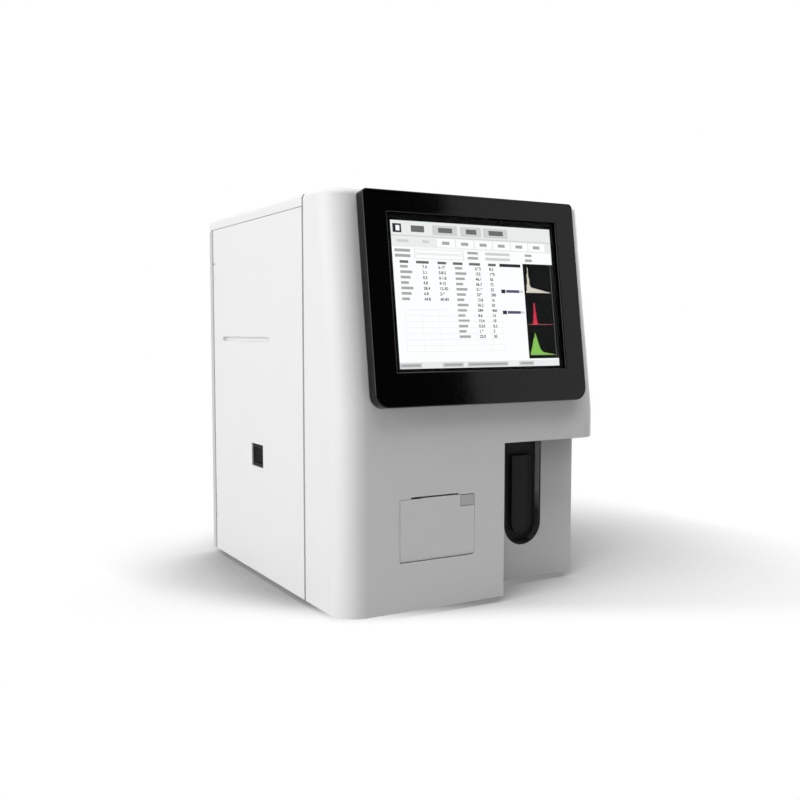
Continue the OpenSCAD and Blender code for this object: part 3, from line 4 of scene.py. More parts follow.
import bpy
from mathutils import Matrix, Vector

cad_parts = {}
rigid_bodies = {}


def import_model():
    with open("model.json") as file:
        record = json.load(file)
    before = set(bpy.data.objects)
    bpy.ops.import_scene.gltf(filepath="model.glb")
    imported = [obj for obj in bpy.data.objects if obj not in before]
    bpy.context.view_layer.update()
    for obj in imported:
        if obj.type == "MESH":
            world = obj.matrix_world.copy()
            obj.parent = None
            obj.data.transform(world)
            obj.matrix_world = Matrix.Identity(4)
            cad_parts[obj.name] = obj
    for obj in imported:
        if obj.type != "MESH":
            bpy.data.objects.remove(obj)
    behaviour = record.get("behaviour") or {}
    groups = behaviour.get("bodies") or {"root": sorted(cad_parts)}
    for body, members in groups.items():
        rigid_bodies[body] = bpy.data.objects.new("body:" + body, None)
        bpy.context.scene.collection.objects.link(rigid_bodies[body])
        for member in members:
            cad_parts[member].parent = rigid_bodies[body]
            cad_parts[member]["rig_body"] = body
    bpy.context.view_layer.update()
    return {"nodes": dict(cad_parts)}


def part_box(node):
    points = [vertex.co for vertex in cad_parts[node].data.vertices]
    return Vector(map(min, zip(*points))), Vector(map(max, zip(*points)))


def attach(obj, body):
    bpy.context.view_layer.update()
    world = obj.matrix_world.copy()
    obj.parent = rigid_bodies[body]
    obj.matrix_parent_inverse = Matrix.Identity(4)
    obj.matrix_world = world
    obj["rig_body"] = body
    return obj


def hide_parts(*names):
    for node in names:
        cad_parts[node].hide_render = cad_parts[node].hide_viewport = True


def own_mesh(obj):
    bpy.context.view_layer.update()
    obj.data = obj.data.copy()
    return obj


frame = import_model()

scene = bpy.context.scene
scene.view_settings.view_transform = "Standard"


# Camera: stands to the front left at half the machine's height, turned a little
# down, so that the left side and the leaning screen are both seen.
eye = Vector((-0.59957, -1.08165, 0.31040))
sight = Vector((0.49084, 0.86810, -0.07397))
bpy.ops.object.camera_add(location=eye, rotation=sight.to_track_quat("-Z", "Y").to_euler())
camera = bpy.context.object
camera.data.sensor_width = 36
camera.data.lens = 43.231
camera.data.clip_end = 100
scene.camera = camera


# Studio: a broad lamp on the left, a softer one overhead, and a third behind for the
# sides that the camera doesn't see. The room is white, the floor pale with the machine's shadow
# painted into its glow, and a dark card in front shows only as a reflection in black gloss.
def lamp(name, place, target, width, height, power):
    """A soft lamp of the given size, aimed at a target."""
    aim = (Vector(target) - Vector(place)).to_track_quat("-Z", "Y").to_euler()
    bpy.ops.object.light_add(type="AREA", location=place, rotation=aim)
    light = bpy.context.object
    light.name = name
    light.data.shape = "RECTANGLE"
    light.data.size = width
    light.data.size_y = height
    light.data.energy = power


def seen_directly(tree):
    """One for rays that come from the camera, a reflection or a clear piece, else nought."""
    ray = tree.nodes.new("ShaderNodeLightPath")
    mirrored = tree.nodes.new("ShaderNodeMath")
    mirrored.operation = "MAXIMUM"
    shown = tree.nodes.new("ShaderNodeMath")
    shown.operation = "MAXIMUM"
    tree.links.new(ray.outputs["Is Camera Ray"], mirrored.inputs[0])
    tree.links.new(ray.outputs["Is Glossy Ray"], mirrored.inputs[1])
    tree.links.new(mirrored.outputs[0], shown.inputs[0])
    tree.links.new(ray.outputs["Is Transmission Ray"], shown.inputs[1])
    return shown.outputs[0]


lamp("left_lamp", place=(-2.6, -0.2, 0.9), target=(0, 0, 0.25), width=2.2, height=1.8, power=50.5)
lamp("roof_lamp", place=(0.1, -0.5, 2.4), target=(0, 0, 0.1), width=2.6, height=2.0, power=43)
lamp("back_lamp", place=(2.3, 1.5, 1.2), target=(0, 0, 0.25), width=2.0, height=1.6, power=46)

world = bpy.data.worlds.new("studio")
scene.world = world
world.use_nodes = True
sky = world.node_tree
sky.nodes.clear()
room = sky.nodes.new("ShaderNodeBackground")
room.inputs["Color"].default_value = (1, 1, 1, 1)
room.inputs["Strength"].default_value = 0.07
backdrop = sky.nodes.new("ShaderNodeBackground")
backdrop.inputs["Color"].default_value = (1, 1, 1, 1)
backdrop.inputs["Strength"].default_value = 1.0
blend = sky.nodes.new("ShaderNodeMixShader")
out = sky.nodes.new("ShaderNodeOutputWorld")
sky.links.new(seen_directly(sky), blend.inputs["Fac"])
sky.links.new(room.outputs[0], blend.inputs[1])
sky.links.new(backdrop.outputs[0], blend.inputs[2])
sky.links.new(blend.outputs[0], out.inputs["Surface"])


def shade(tree, tilt, turn, reach, power, least):
    """Painted shadow on the floor: how open it is towards one side, from least in the machine's shadow
    to one.
    """
    facing = tree.nodes.new("ShaderNodeCombineXYZ")
    facing.inputs["X"].default_value = math.sin(tilt) * math.sin(turn)
    facing.inputs["Y"].default_value = -math.sin(tilt) * math.cos(turn)
    facing.inputs["Z"].default_value = math.cos(tilt)
    cover = tree.nodes.new("ShaderNodeAmbientOcclusion")
    cover.inputs["Distance"].default_value = reach
    below = tree.nodes.new("ShaderNodeMapRange")
    below.inputs["From Min"].default_value = (1 - math.cos(tilt)) / 2
    soft = tree.nodes.new("ShaderNodeMath")
    soft.operation = "POWER"
    soft.inputs[1].default_value = power
    lift = tree.nodes.new("ShaderNodeMath")
    lift.operation = "MULTIPLY_ADD"
    lift.inputs[1].default_value = 1 - least
    lift.inputs[2].default_value = least
    tree.links.new(facing.outputs[0], cover.inputs["Normal"])
    tree.links.new(cover.outputs["AO"], below.inputs["Value"])
    tree.links.new(below.outputs["Result"], soft.inputs[0])
    tree.links.new(soft.outputs[0], lift.inputs[0])
    return lift.outputs[0]


def kept_to(tree, spot, shadow, slope, bare, full):
    """Fades the painted shadow out over the floor, along Y + slope * X: none at bare, whole at full.
    """
    along = tree.nodes.new("ShaderNodeMath")
    along.operation = "MULTIPLY_ADD"
    along.inputs[1].default_value = slope
    share = tree.nodes.new("ShaderNodeMapRange")
    share.interpolation_type = "SMOOTHSTEP"
    share.inputs["From Min"].default_value = bare
    share.inputs["From Max"].default_value = full
    faded = tree.nodes.new("ShaderNodeMix")
    faded.inputs["A"].default_value = 1.0
    tree.links.new(spot.outputs["X"], along.inputs[0])
    tree.links.new(spot.outputs["Y"], along.inputs[2])
    tree.links.new(along.outputs[0], share.inputs["Value"])
    tree.links.new(share.outputs["Result"], faded.inputs["Factor"])
    tree.links.new(shadow, faded.inputs["B"])
    return faded.outputs["Result"]


def times(tree, first, second):
    """The product of two values, such as two shadows over each other."""
    both = tree.nodes.new("ShaderNodeMath")
    both.operation = "MULTIPLY"
    tree.links.new(first, both.inputs[0])
    tree.links.new(second, both.inputs[1])
    return both.outputs[0]


bpy.ops.object.select_all(action="DESELECT")
bpy.ops.mesh.primitive_plane_add(size=60, location=(0, 0, 0))
floor = bpy.context.object
floor.name = "floor"
floor_paint = bpy.data.materials.new("floor_paint")
floor_paint.use_nodes = True
tree = floor_paint.node_tree
tree.nodes.clear()
matt = tree.nodes.new("ShaderNodeBsdfDiffuse")
matt.inputs["Color"].default_value = (0.6, 0.6, 0.6, 1)
glow = tree.nodes.new("ShaderNodeEmission")
glow.inputs["Color"].default_value = (1, 1, 1, 1)
place = tree.nodes.new("ShaderNodeTexCoord")
spot = tree.nodes.new("ShaderNodeSeparateXYZ")
tree.links.new(place.outputs["Object"], spot.inputs[0])
# Painted shadow: the floor's glow, as the camera sees it, is dimmed by occlusion towards three sides,
# kept to where the shadow falls and faded out in front of the machine.
left_shade = shade(tree, tilt=1.33, turn=1.57, reach=0.16, power=0.5, least=0.38)
left_shade = kept_to(tree, spot, left_shade, slope=1.15, bare=-0.40, full=-0.24)
right_shade = shade(tree, tilt=1.0, turn=-0.88, reach=0.42, power=1.3, least=0.0)
right_shade = kept_to(tree, spot, right_shade, slope=-1.0, bare=0.50, full=0.30)
bay_shade = shade(tree, tilt=0.9, turn=-2.0, reach=0.08, power=0.1, least=0.0)
deepest = tree.nodes.new("ShaderNodeMath")
deepest.operation = "MAXIMUM"
deepest.inputs[1].default_value = 0.24
both_sides = times(tree, left_shade, right_shade)
tree.links.new(times(tree, both_sides, bay_shade), deepest.inputs[0])
behind_front = kept_to(tree, spot, deepest.outputs[0], slope=0.53, bare=-0.285, full=-0.185)
tree.links.new(behind_front, glow.inputs["Strength"])
pick = tree.nodes.new("ShaderNodeMixShader")
out = tree.nodes.new("ShaderNodeOutputMaterial")
tree.links.new(seen_directly(tree), pick.inputs["Fac"])
tree.links.new(matt.outputs[0], pick.inputs[1])
tree.links.new(glow.outputs[0], pick.inputs[2])
tree.links.new(pick.outputs[0], out.inputs["Surface"])
floor.data.materials.append(floor_paint)

card_w, card_h = 4.42, 3.2
card_place = (-0.19, -3.2, card_h / 2)
bpy.ops.object.select_all(action="DESELECT")
bpy.ops.mesh.primitive_plane_add(size=1, location=card_place, rotation=(math.pi / 2, 0, 0))
card = bpy.context.object
card.name = "dark_card"
card.scale = (card_w, card_h, 1)
bpy.ops.object.transform_apply(location=True, rotation=True, scale=True)
card_felt = bpy.data.materials.new("card_felt")
card_felt.use_nodes = True
felt = card_felt.node_tree.nodes["Principled BSDF"]
felt.inputs["Base Color"].default_value = (0.005, 0.005, 0.005, 1)
felt.inputs["Roughness"].default_value = 1.0
card.data.materials.append(card_felt)
card.visible_camera = False
card.visible_diffuse = False
card.visible_shadow = False
card.visible_transmission = False


# Chassis: zinc-plated steel sheet, cut and folded, its parts spot-welded and
# screwed together. Everything else hangs on it.
def linear(code):
    """Red, green and blue of a hex colour, as shares of light."""
    parts = [int(code[i:i + 2], 16) / 255 for i in (1, 3, 5)]
    return [p / 12.92 if p <= 0.04045 else ((p + 0.055) / 1.055) ** 2.4 for p in parts]


def finish(name, code, rough, spread=0.03, grain=900, relief=0.1, metal=0.0, gloss=0.5, run=(1, 1, 1)):
    """Surface on object coordinates: colour that drifts a little, uneven gloss, fine relief."""
    material = bpy.data.materials.new(name)
    material.use_nodes = True
    tree = material.node_tree
    shader = tree.nodes["Principled BSDF"]
    shader.inputs["Metallic"].default_value = metal
    shader.inputs["Specular IOR Level"].default_value = gloss
    place = tree.nodes.new("ShaderNodeTexCoord")
    lay = tree.nodes.new("ShaderNodeMapping")
    lay.inputs["Scale"].default_value = run
    drift = tree.nodes.new("ShaderNodeTexNoise")
    drift.inputs["Scale"].default_value = 14
    drift.inputs["Detail"].default_value = 4
    fine = tree.nodes.new("ShaderNodeTexNoise")
    fine.inputs["Scale"].default_value = grain
    fine.inputs["Detail"].default_value = 2
    colour = tree.nodes.new("ShaderNodeValToRGB")
    base = linear(code)
    for stop, share in zip(colour.color_ramp.elements, (1 - spread, 1 + spread)):
        stop.color = [min(1.0, c * share) for c in base] + [1]
    colour.color_ramp.elements[0].position = 0.3
    colour.color_ramp.elements[1].position = 0.7
    uneven = 0.06
    sheen = tree.nodes.new("ShaderNodeMapRange")
    sheen.inputs["To Min"].default_value = max(0.02, rough - uneven)
    sheen.inputs["To Max"].default_value = min(1.0, rough + uneven)
    bump = tree.nodes.new("ShaderNodeBump")
    bump.inputs["Strength"].default_value = relief
    bump.inputs["Distance"].default_value = 0.0002
    tree.links.new(place.outputs["Object"], lay.inputs["Vector"])
    for texture in (drift, fine):
        tree.links.new(lay.outputs["Vector"], texture.inputs["Vector"])
    tree.links.new(drift.outputs["Fac"], colour.inputs["Fac"])
    tree.links.new(colour.outputs["Color"], shader.inputs["Base Color"])
    tree.links.new(fine.outputs["Fac"], sheen.inputs["Value"])
    tree.links.new(sheen.outputs["Result"], shader.inputs["Roughness"])
    tree.links.new(fine.outputs["Fac"], bump.inputs["Height"])
    tree.links.new(bump.outputs["Normal"], shader.inputs["Normal"])
    return material


def open_copy(node, name):
    """Copy of a solid with its triangles merged into whole faces, left open for editing."""
    piece = bpy.data.objects.new(name, frame["nodes"][node].data.copy())
    scene.collection.objects.link(piece)
    piece.data.materials.clear()
    bpy.ops.object.select_all(action="DESELECT")
    piece.select_set(True)
    bpy.context.view_layer.objects.active = piece
    bpy.ops.object.mode_set(mode="EDIT")
    bpy.ops.mesh.select_mode(type="VERT")
    bpy.ops.mesh.select_all(action="SELECT")
    bpy.ops.mesh.remove_doubles(threshold=0.00001)
    bpy.ops.mesh.customdata_custom_splitnormals_clear()
    bpy.ops.mesh.dissolve_limited(angle_limit=0.01)
    return piece


sharp = 0.6


def ease_edges(edge, steps):
    """Rounds every sharp edge of the piece that is open."""
    bpy.ops.mesh.select_all(action="DESELECT")
    bpy.ops.mesh.select_mode(type="EDGE")
    bpy.ops.mesh.edges_select_sharp(sharpness=sharp)
    bpy.ops.mesh.bevel(offset=edge, segments=steps, affect="EDGES", clamp_overlap=False)


def close_piece(piece):
    """Ends the edit with smooth rounds between flat faces."""
    bpy.ops.object.mode_set(mode="OBJECT")
    bpy.ops.object.shade_smooth_by_angle(angle=sharp)
    even = piece.modifiers.new("even", "WEIGHTED_NORMAL")
    even.keep_sharp = True
    bpy.ops.object.modifier_apply(modifier=even.name)


def stand_in(piece, node, material):
    """Puts the piece in the place of its solid, on the same body."""
    piece.data.materials.append(material)
    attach(piece, frame["nodes"][node]["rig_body"])
    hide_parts(node)


def eased(node, material, edge, steps=2):
    """A solid as it leaves the press, mould or mill, with its edges eased."""
    piece = open_copy(node, node + "_skin")
    ease_edges(edge, steps)
    close_piece(piece)
    stand_in(piece, node, material)
    return piece


zinc = finish("zinc_plate", "#a9adae", 0.38, spread=0.10, grain=500, relief=0.08, metal=0.9)
for node in ("base_tray", "front_frame", "bulkhead", "switch_bracket"):
    eased(node, zinc, 0.0003)


# Rear panel: painted steel sheet with a punched grille for the fan, held by six
# cross-headed screws.
rear_paint = finish("rear_paint", "#c9cbca", 0.5, spread=0.02, grain=1400, relief=0.25)
eased("rear_panel", rear_paint, 0.0003)
screw_steel = finish("screw_steel", "#b9bcbe", 0.3, spread=0.06, grain=2000, relief=0.05, metal=1.0)
eased("cover_screws", screw_steel, 0.00015)


# Rear fittings: mains inlet and data sockets of moulded plastic, four hose
# spigots with hexagon nuts, and the fan behind its grille.
black_plastic = finish("black_plastic", "#161617", 0.5, spread=0.08, grain=1800, relief=0.2)
grey_plastic = finish("grey_plastic", "#8e9498", 0.5, spread=0.04, grain=1600, relief=0.2)
nickel = finish("nickel_plate", "#c6c8c6", 0.25, spread=0.05, grain=1500, relief=0.04, metal=1.0)
eased("power_inlet", black_plastic, 0.0003)
eased("port_block", grey_plastic, 0.0003)
eased("reagent_ports", nickel, 0.00025)
eased("fan_frame", black_plastic, 0.0004)
eased("fan_rotor", black_plastic, 0.0003)


# Feet: four round pads of moulded rubber with a hollow sole that grips the bench,
# glued to the underside of the tray.
rubber = finish("foot_rubber", "#b9b9b7", 0.8, spread=0.15, grain=1200, relief=0.35)
eased("feet", rubber, 0.0006)


# Power supply: a box folded from zinc-plated sheet with louvres in its lid, screwed to
# the tray as one unit.
eased("power_supply", zinc, 0.0004)


# Fluid side: two diaphragm pumps, a vacuum chamber and a bank of pinch valves on
# an acetal block, all on the left of the bulkhead.
def painted(piece, material, belongs):
    """Gives another finish to those faces of the piece whose middles pass the test."""
    piece.data.materials.append(material)
    for face in piece.data.polygons:
        if belongs(face.center):
            face.material_index = len(piece.data.materials) - 1


pump_grey = finish("pump_grey", "#3b4046", 0.45, spread=0.06, grain=1300, relief=0.15)
can_steel = finish("can_steel", "#a8abad", 0.32, spread=0.06, grain=900, relief=0.05, metal=0.9,
                   run=(1, 6, 1))
chamber_white = finish("chamber_white", "#dbe0de", 0.35, spread=0.02, grain=900, relief=0.08)
acetal = finish("acetal", "#d9cda8", 0.45, spread=0.03, grain=1100, relief=0.1)
pumps_low, pumps_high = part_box("pumps")
pump_half, pump_head_l, can_r = 0.019, 0.02713, 0.0151
can_axes = (pumps_low.x + pump_half, pumps_high.x - pump_half)
pumps = eased("pumps", pump_grey, 0.0006)


def on_can(at):
    """Whether a place is on the steel can of either pump's motor."""
    off_axis = min(math.hypot(at.x - x, at.z - pumps_low.z - pump_half) for x in can_axes)
    return at.y > pumps_low.y + pump_head_l and off_axis < can_r


painted(pumps, can_steel, on_can)
lid_h = 0.0231
lid_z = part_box("vacuum_chamber")[1].z - lid_h
chamber = eased("vacuum_chamber", chamber_white, 0.0008, 3)
painted(chamber, pump_grey, lambda at: at.z > lid_z)
valve_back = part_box("valve_bank")[1].x
block_w, yoke_start, yoke_end = 0.0221, 0.0259, 0.0361
valves = eased("valve_bank", acetal, 0.0005)
painted(valves, black_plastic, lambda at: valve_back - at.x > block_w)
painted(valves, zinc, lambda at: yoke_start < valve_back - at.x < yoke_end)


# Syringe drive: an aluminium bracket with a clear barrel, a plunger on a screw
# block and a stepper motor below.
alloy = finish("milled_alloy", "#b9bdc1", 0.35, spread=0.05, grain=700, relief=0.06, metal=0.9,
               run=(1, 1, 8))
clear_tube = finish("clear_tube", "#eef5f7", 0.08, spread=0.01, grain=600, relief=0.01)
tube = clear_tube.node_tree.nodes["Principled BSDF"]
tube.inputs["Transmission Weight"].default_value = 1.0
tube.inputs["IOR"].default_value = 1.3
motor_paint = finish("motor_paint", "#2b2d30", 0.42, spread=0.06, grain=1500, relief=0.2)
bright_steel = finish("bright_steel", "#c9ccce", 0.22, spread=0.05, grain=1800, relief=0.04, metal=1.0)
ptfe = finish("ptfe_white", "#dedfdd", 0.4, spread=0.02, grain=900, relief=0.08)


hair = 1e-5


def score(axis, at):
    """Cuts the faces of the open piece right round at one place along an axis."""
    place = [0.0, 0.0, 0.0]
    facing = [0.0, 0.0, 0.0]
    place[axis] = at
    facing[axis] = 1.0
    bpy.ops.mesh.select_all(action="SELECT")
    bpy.ops.mesh.bisect(plane_co=place, plane_no=facing)


def stepper(node, axis, cap):
    """A stepper motor: a stack of black sheets, sunk a little between two cast end caps."""
    piece = open_copy(node, node + "_skin")
    low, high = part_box(node)
    middle = (low + high) / 2
    half = (high - low) / 2
    core_r = 0.6 * half[(axis + 1) % 3]
    sink = 0.0005
    ease_edges(0.0008, 2)
    score(axis, low[axis] + cap)
    score(axis, high[axis] - cap)
    bpy.ops.mesh.select_mode(type="FACE")
    bpy.ops.mesh.select_all(action="DESELECT")
    bpy.ops.object.mode_set(mode="OBJECT")
    for face in piece.data.polygons:
        off = face.center - middle
        along = abs(off[axis])
        off[axis] = 0
        face.select = along < half[axis] - cap and off.length > core_r
    bpy.ops.object.mode_set(mode="EDIT")
    bpy.ops.mesh.extrude_region_shrink_fatten(TRANSFORM_OT_shrink_fatten={"value": -sink})
    close_piece(piece)
    stand_in(piece, node, motor_paint)
    painted(piece, alloy, lambda at: abs(at[axis] - middle[axis]) > half[axis] - cap - hair)


def lead_screw(node, pitch):
    """A lead screw: one groove modelled once and set in a row from end to end."""
    low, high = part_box(node)
    middle = (low + high) / 2
    turns = round((high.z - low.z) / pitch)
    step = (high.z - low.z) / turns
    outer_r = (high.x - low.x) / 2
    root = 0.8
    first_turn = Vector((middle.x, middle.y, low.z + step / 2))
    bpy.ops.object.select_all(action="DESELECT")
    bpy.ops.mesh.primitive_cylinder_add(vertices=16, radius=outer_r, depth=step,
                                        end_fill_type="NOTHING", location=first_turn)
    piece = bpy.context.object
    piece.name = node + "_skin"
    bpy.ops.object.transform_apply(location=True, rotation=True, scale=True)
    bpy.ops.object.mode_set(mode="EDIT")
    for share in (0.2, 0.5, 0.8):
        score(2, low.z + share * step)
    bpy.ops.mesh.select_mode(type="VERT")
    bpy.ops.mesh.select_all(action="DESELECT")
    bpy.ops.object.mode_set(mode="OBJECT")
    for point in piece.data.vertices:
        point.select = abs(point.co.z - first_turn.z) < step / 10
    bpy.ops.object.mode_set(mode="EDIT")
    bpy.ops.transform.resize(value=(root, root, 1), center_override=middle)
    bpy.ops.object.mode_set(mode="OBJECT")
    row = piece.modifiers.new("row", "ARRAY")
    row.count = turns
    row.relative_offset_displace = (0, 0, 1)
    row.use_merge_vertices = True
    row.merge_threshold = 0.00002
    bpy.ops.object.modifier_apply(modifier=row.name)
    bpy.ops.object.mode_set(mode="EDIT")
    bpy.ops.mesh.select_all(action="SELECT")
    bpy.ops.mesh.fill_holes(sides=0)
    close_piece(piece)
    stand_in(piece, node, bright_steel)


eased("syringe_frame", alloy, 0.0005)
eased("syringe_barrel", clear_tube, 0.0004)
eased("syringe_plunger", ptfe, 0.0004)
lead_screw("syringe_screw", 0.002)
stepper("syringe_motor", 2, 0.008)
barrel_low, barrel_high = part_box("syringe_barrel")
barrel_mid = (barrel_low + barrel_high) / 2
mark_t, mark_pitch, mark_count = 0.0004, 0.005, 11
mark_rise, mark_proud, ink_t = 0.012, 0.00005, 0.00004
mark_half_arc = math.acos(0.75)
mark_r = (barrel_high.x - barrel_low.x) / 2 + mark_proud
first_mark = (barrel_mid.x, barrel_mid.y, barrel_low.z + mark_rise)
bpy.ops.object.select_all(action="DESELECT")
bpy.ops.mesh.primitive_cylinder_add(vertices=48, radius=mark_r, depth=mark_t, end_fill_type="NOTHING",
                                    location=first_mark)
marks = bpy.context.object
marks.name = "syringe_scale"
bpy.ops.object.transform_apply(location=True, rotation=True, scale=True)
for face in marks.data.polygons:
    face.select = face.normal.x > -math.cos(mark_half_arc)
bpy.ops.object.mode_set(mode="EDIT")
bpy.ops.mesh.delete(type="FACE")
bpy.ops.object.mode_set(mode="OBJECT")
skin = marks.modifiers.new("skin", "SOLIDIFY")
skin.thickness = ink_t
bpy.ops.object.modifier_apply(modifier=skin.name)
row = marks.modifiers.new("row", "ARRAY")
row.count = mark_count
row.use_relative_offset = False
row.use_constant_offset = True
row.constant_offset_displace = (0, 0, mark_pitch)
bpy.ops.object.modifier_apply(modifier=row.name)
marks.data.materials.append(black_plastic)
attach(marks, frame["nodes"]["syringe_barrel"]["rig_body"])


# Sampler: a plate with a linear rail on the bulkhead, a carriage drawn by a belt,
# and an arm that a screw lifts, with the steel probe at its end.
belt_rubber = finish("belt_rubber", "#19191a", 0.7, spread=0.1, grain=1500, relief=0.3)
brass = finish("brass", "#b99a54", 0.3, spread=0.06, grain=1200, relief=0.05, metal=1.0)
for node in ("sampler_plate", "sampler_carriage", "probe_arm"):
    eased(node, alloy, 0.0005)
eased("sampler_rail", bright_steel, 0.0005)
stepper("lift_motor", 2, 0.006)
lead_screw("lift_screw", 0.002)
eased("sample_probe", bright_steel, 0.0002)
eased("wash_block", acetal, 0.0004)
stepper("travel_motor", 0, 0.008)
eased("drive_pulley", brass, 0.0003)
eased("idler_pulley", brass, 0.0003)
eased("travel_belt", belt_rubber, 0.0002)


# Counting baths: two turned cups of acetal, one for white cells and one for red, hung
# in a folded aluminium bracket on the bulkhead.
for node in ("white_cell_bath", "red_cell_bath"):
    eased(node, acetal, 0.0005)
eased("bath_bracket", alloy, 0.0004)


# Main board: a glass-fibre board with its chips and plugs soldered on, screwed to the
# bulkhead on brass standoffs.
board = finish("board_green", "#1d5c36", 0.4, spread=0.15, grain=500, relief=0.1)
chip_black = finish("chip_black", "#1b1b1d", 0.5, spread=0.1, grain=1500, relief=0.1)
standoff_l, board_t = 0.0079, 0.0018
chips_start, chips_end = 0.15, 0.8
board_low, board_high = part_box("main_board")
standoff_x = board_low.x + standoff_l
parts_x = standoff_x + board_t
main_board = eased("main_board", board, 0.0002)


def up_board(at):
    """How far up the board a place is, from nought at its foot to one at its top."""
    return (at.z - board_low.z) / (board_high.z - board_low.z)


painted(main_board, chip_black, lambda at: at.x > parts_x)
painted(main_board, ptfe, lambda at: at.x > parts_x and not chips_start < up_board(at) < chips_end)
painted(main_board, brass, lambda at: at.x < standoff_x)


# Recorder: a light grey moulded box behind the front cover with the thermal head, the
# feed motor and the paper roll; its white door carries the platen roller.
box_plastic = finish("box_plastic", "#c4c4c2", 0.55, spread=0.06, grain=1600, relief=0.25)
paper = finish("paper_white", "#f0efea", 0.75, spread=0.015, grain=2200, relief=0.12)
platen_rubber = finish("platen_rubber", "#1c1c1d", 0.75, spread=0.1, grain=1600, relief=0.3)
eased("recorder_frame", box_plastic, 0.0004)
eased("thermal_head", alloy, 0.0003)
eased("feed_motor", bright_steel, 0.0005)
eased("paper_roll", paper, 0.0003)
eased("platen_roller", platen_rubber, 0.0003)
eased("recorder_hinge_pin", bright_steel, 0.0002)


# Front cover: one large moulding of fine-textured white ABS with round upright
# corners and a rounded upper rim; the sample bay is moulded into it.
shell_white = finish("shell_white", "#ececec", 0.48, spread=0.006, grain=1800, relief=0.10, gloss=0.35)
rim_r, shell_edge = 0.007, 0.0007


def round_rim(piece, flat_y):
    """Rounds the upper rim of the piece that is open, all but the edge at flat_y."""
    bpy.ops.mesh.select_mode(type="EDGE")
    bpy.ops.mesh.select_all(action="DESELECT")
    bpy.ops.object.mode_set(mode="OBJECT")
    points = piece.data.vertices
    top = max(point.co.z for point in points)
    for edge in piece.data.edges:
        ends = [points[i].co for i in edge.vertices]
        flat = all(abs(end.y - flat_y) < hair for end in ends)
        edge.select = all(end.z > top - hair for end in ends) and not flat
    bpy.ops.object.mode_set(mode="EDIT")
    bpy.ops.mesh.bevel(offset=rim_r, segments=5, affect="EDGES", clamp_overlap=False)


# The lower edge of the recorder's opening is raised, and its front edge once more, so
# that the joint below the door is fine.
door_low, door_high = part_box("recorder_door")
door_mid = (door_low + door_high) / 2
sill_drop, sill_half, sill_near = 0.0006, 0.05, 0.0005
whole_sill, front_edge = (0.004, 0.0004), (0.001, 0.0006)
front_cover = open_copy("front_cover", "front_cover_skin")
for reach, rise in (whole_sill, front_edge):
    bpy.ops.mesh.select_all(action="DESELECT")
    bpy.ops.object.mode_set(mode="OBJECT")
    for point in front_cover.data.vertices:
        beside = abs(point.co.x - door_mid.x) < sill_half
        low_edge = abs(point.co.z - door_low.z + sill_drop) < sill_near
        point.select = beside and low_edge and point.co.y < door_low.y + reach
    bpy.ops.object.mode_set(mode="EDIT")
    bpy.ops.transform.translate(value=(0, 0, rise))
round_rim(front_cover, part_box("front_cover")[1].y)
ease_edges(shell_edge, 2)
close_piece(front_cover)
stand_in(front_cover, "front_cover", shell_white)

door_growth, door_face_t = 0.0003, 0.0029
recorder_door = open_copy("recorder_door", "recorder_door_skin")
bpy.ops.mesh.select_all(action="DESELECT")
bpy.ops.object.mode_set(mode="OBJECT")
for point in recorder_door.data.vertices:
    point.select = point.co.y < door_low.y + door_face_t
bpy.ops.object.mode_set(mode="EDIT")
wider = 1 + 2 * door_growth / (door_high.x - door_low.x)
higher = 1 + 2 * door_growth / (door_high.z - door_low.z)
bpy.ops.transform.resize(value=(wider, 1, higher), center_override=door_mid)
ease_edges(0.0003, 2)
close_piece(recorder_door)
stand_in(recorder_door, "recorder_door", shell_white)

tooth_pitch, tooth_h, tip_w, tip_t = 0.0015, 0.0007, 0.15, 0.4
bar_t, bar_h, bar_in, tip_in = 0.0006, 0.0008, 0.0012, 0.0009
bar_left, bar_right = door_low.x + 0.014, door_high.x - 0.021
tooth_x = bar_left + tooth_pitch / 2
bpy.ops.object.select_all(action="DESELECT")
bpy.ops.mesh.primitive_cube_add(size=1, location=(tooth_x, door_low.y + bar_in, door_high.z))
tear_bar = bpy.context.object
tear_bar.name = "tear_bar"
tear_bar.scale = (tooth_pitch, bar_t, bar_h)
bpy.ops.object.transform_apply(location=True, rotation=True, scale=True)
bpy.ops.object.mode_set(mode="EDIT")
bpy.ops.mesh.select_mode(type="FACE")
bpy.ops.mesh.select_all(action="DESELECT")
bpy.ops.object.mode_set(mode="OBJECT")
for face in tear_bar.data.polygons:
    face.select = face.normal.z > 0.9
bpy.ops.object.mode_set(mode="EDIT")
bpy.ops.mesh.extrude_region_move(TRANSFORM_OT_translate={"value": (0, 0, tooth_h)})
tip = (tooth_x, door_low.y + tip_in, 0)
bpy.ops.transform.resize(value=(tip_w, tip_t, 1), center_override=tip)
bpy.ops.object.mode_set(mode="OBJECT")
row = tear_bar.modifiers.new("row", "ARRAY")
row.count = round((bar_right - bar_left) / tooth_pitch)
row.use_merge_vertices = True
bpy.ops.object.modifier_apply(modifier=row.name)
tear_bar.data.materials.append(bright_steel)
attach(tear_bar, "paper_door")

latch_grey = finish("latch_grey", "#cacaca", 0.5, spread=0.01, grain=1800, relief=0.12)
eased("recorder_latch", latch_grey, 0.0006)


# Sample bay: a black moulded liner in the bay's back wall with the long aspirate key
# on two sprung stems. The white wall has painted shade in its corners, the ceiling is painted
# dark to deepen the shade under it, and the liner's right inner wall has painted light.
liner_black = finish("liner_black", "#343436", 0.4, spread=0.06, grain=1500, relief=0.08, gloss=0.06)
key_black = finish("key_black", "#303032", 0.42, spread=0.05, grain=1700, relief=0.15, gloss=0.1)
liner_wall_painted_light = finish("liner_wall_painted_light", "#c8c8ca", 0.45, spread=0.05, grain=1500, relief=0.08, gloss=0.2)


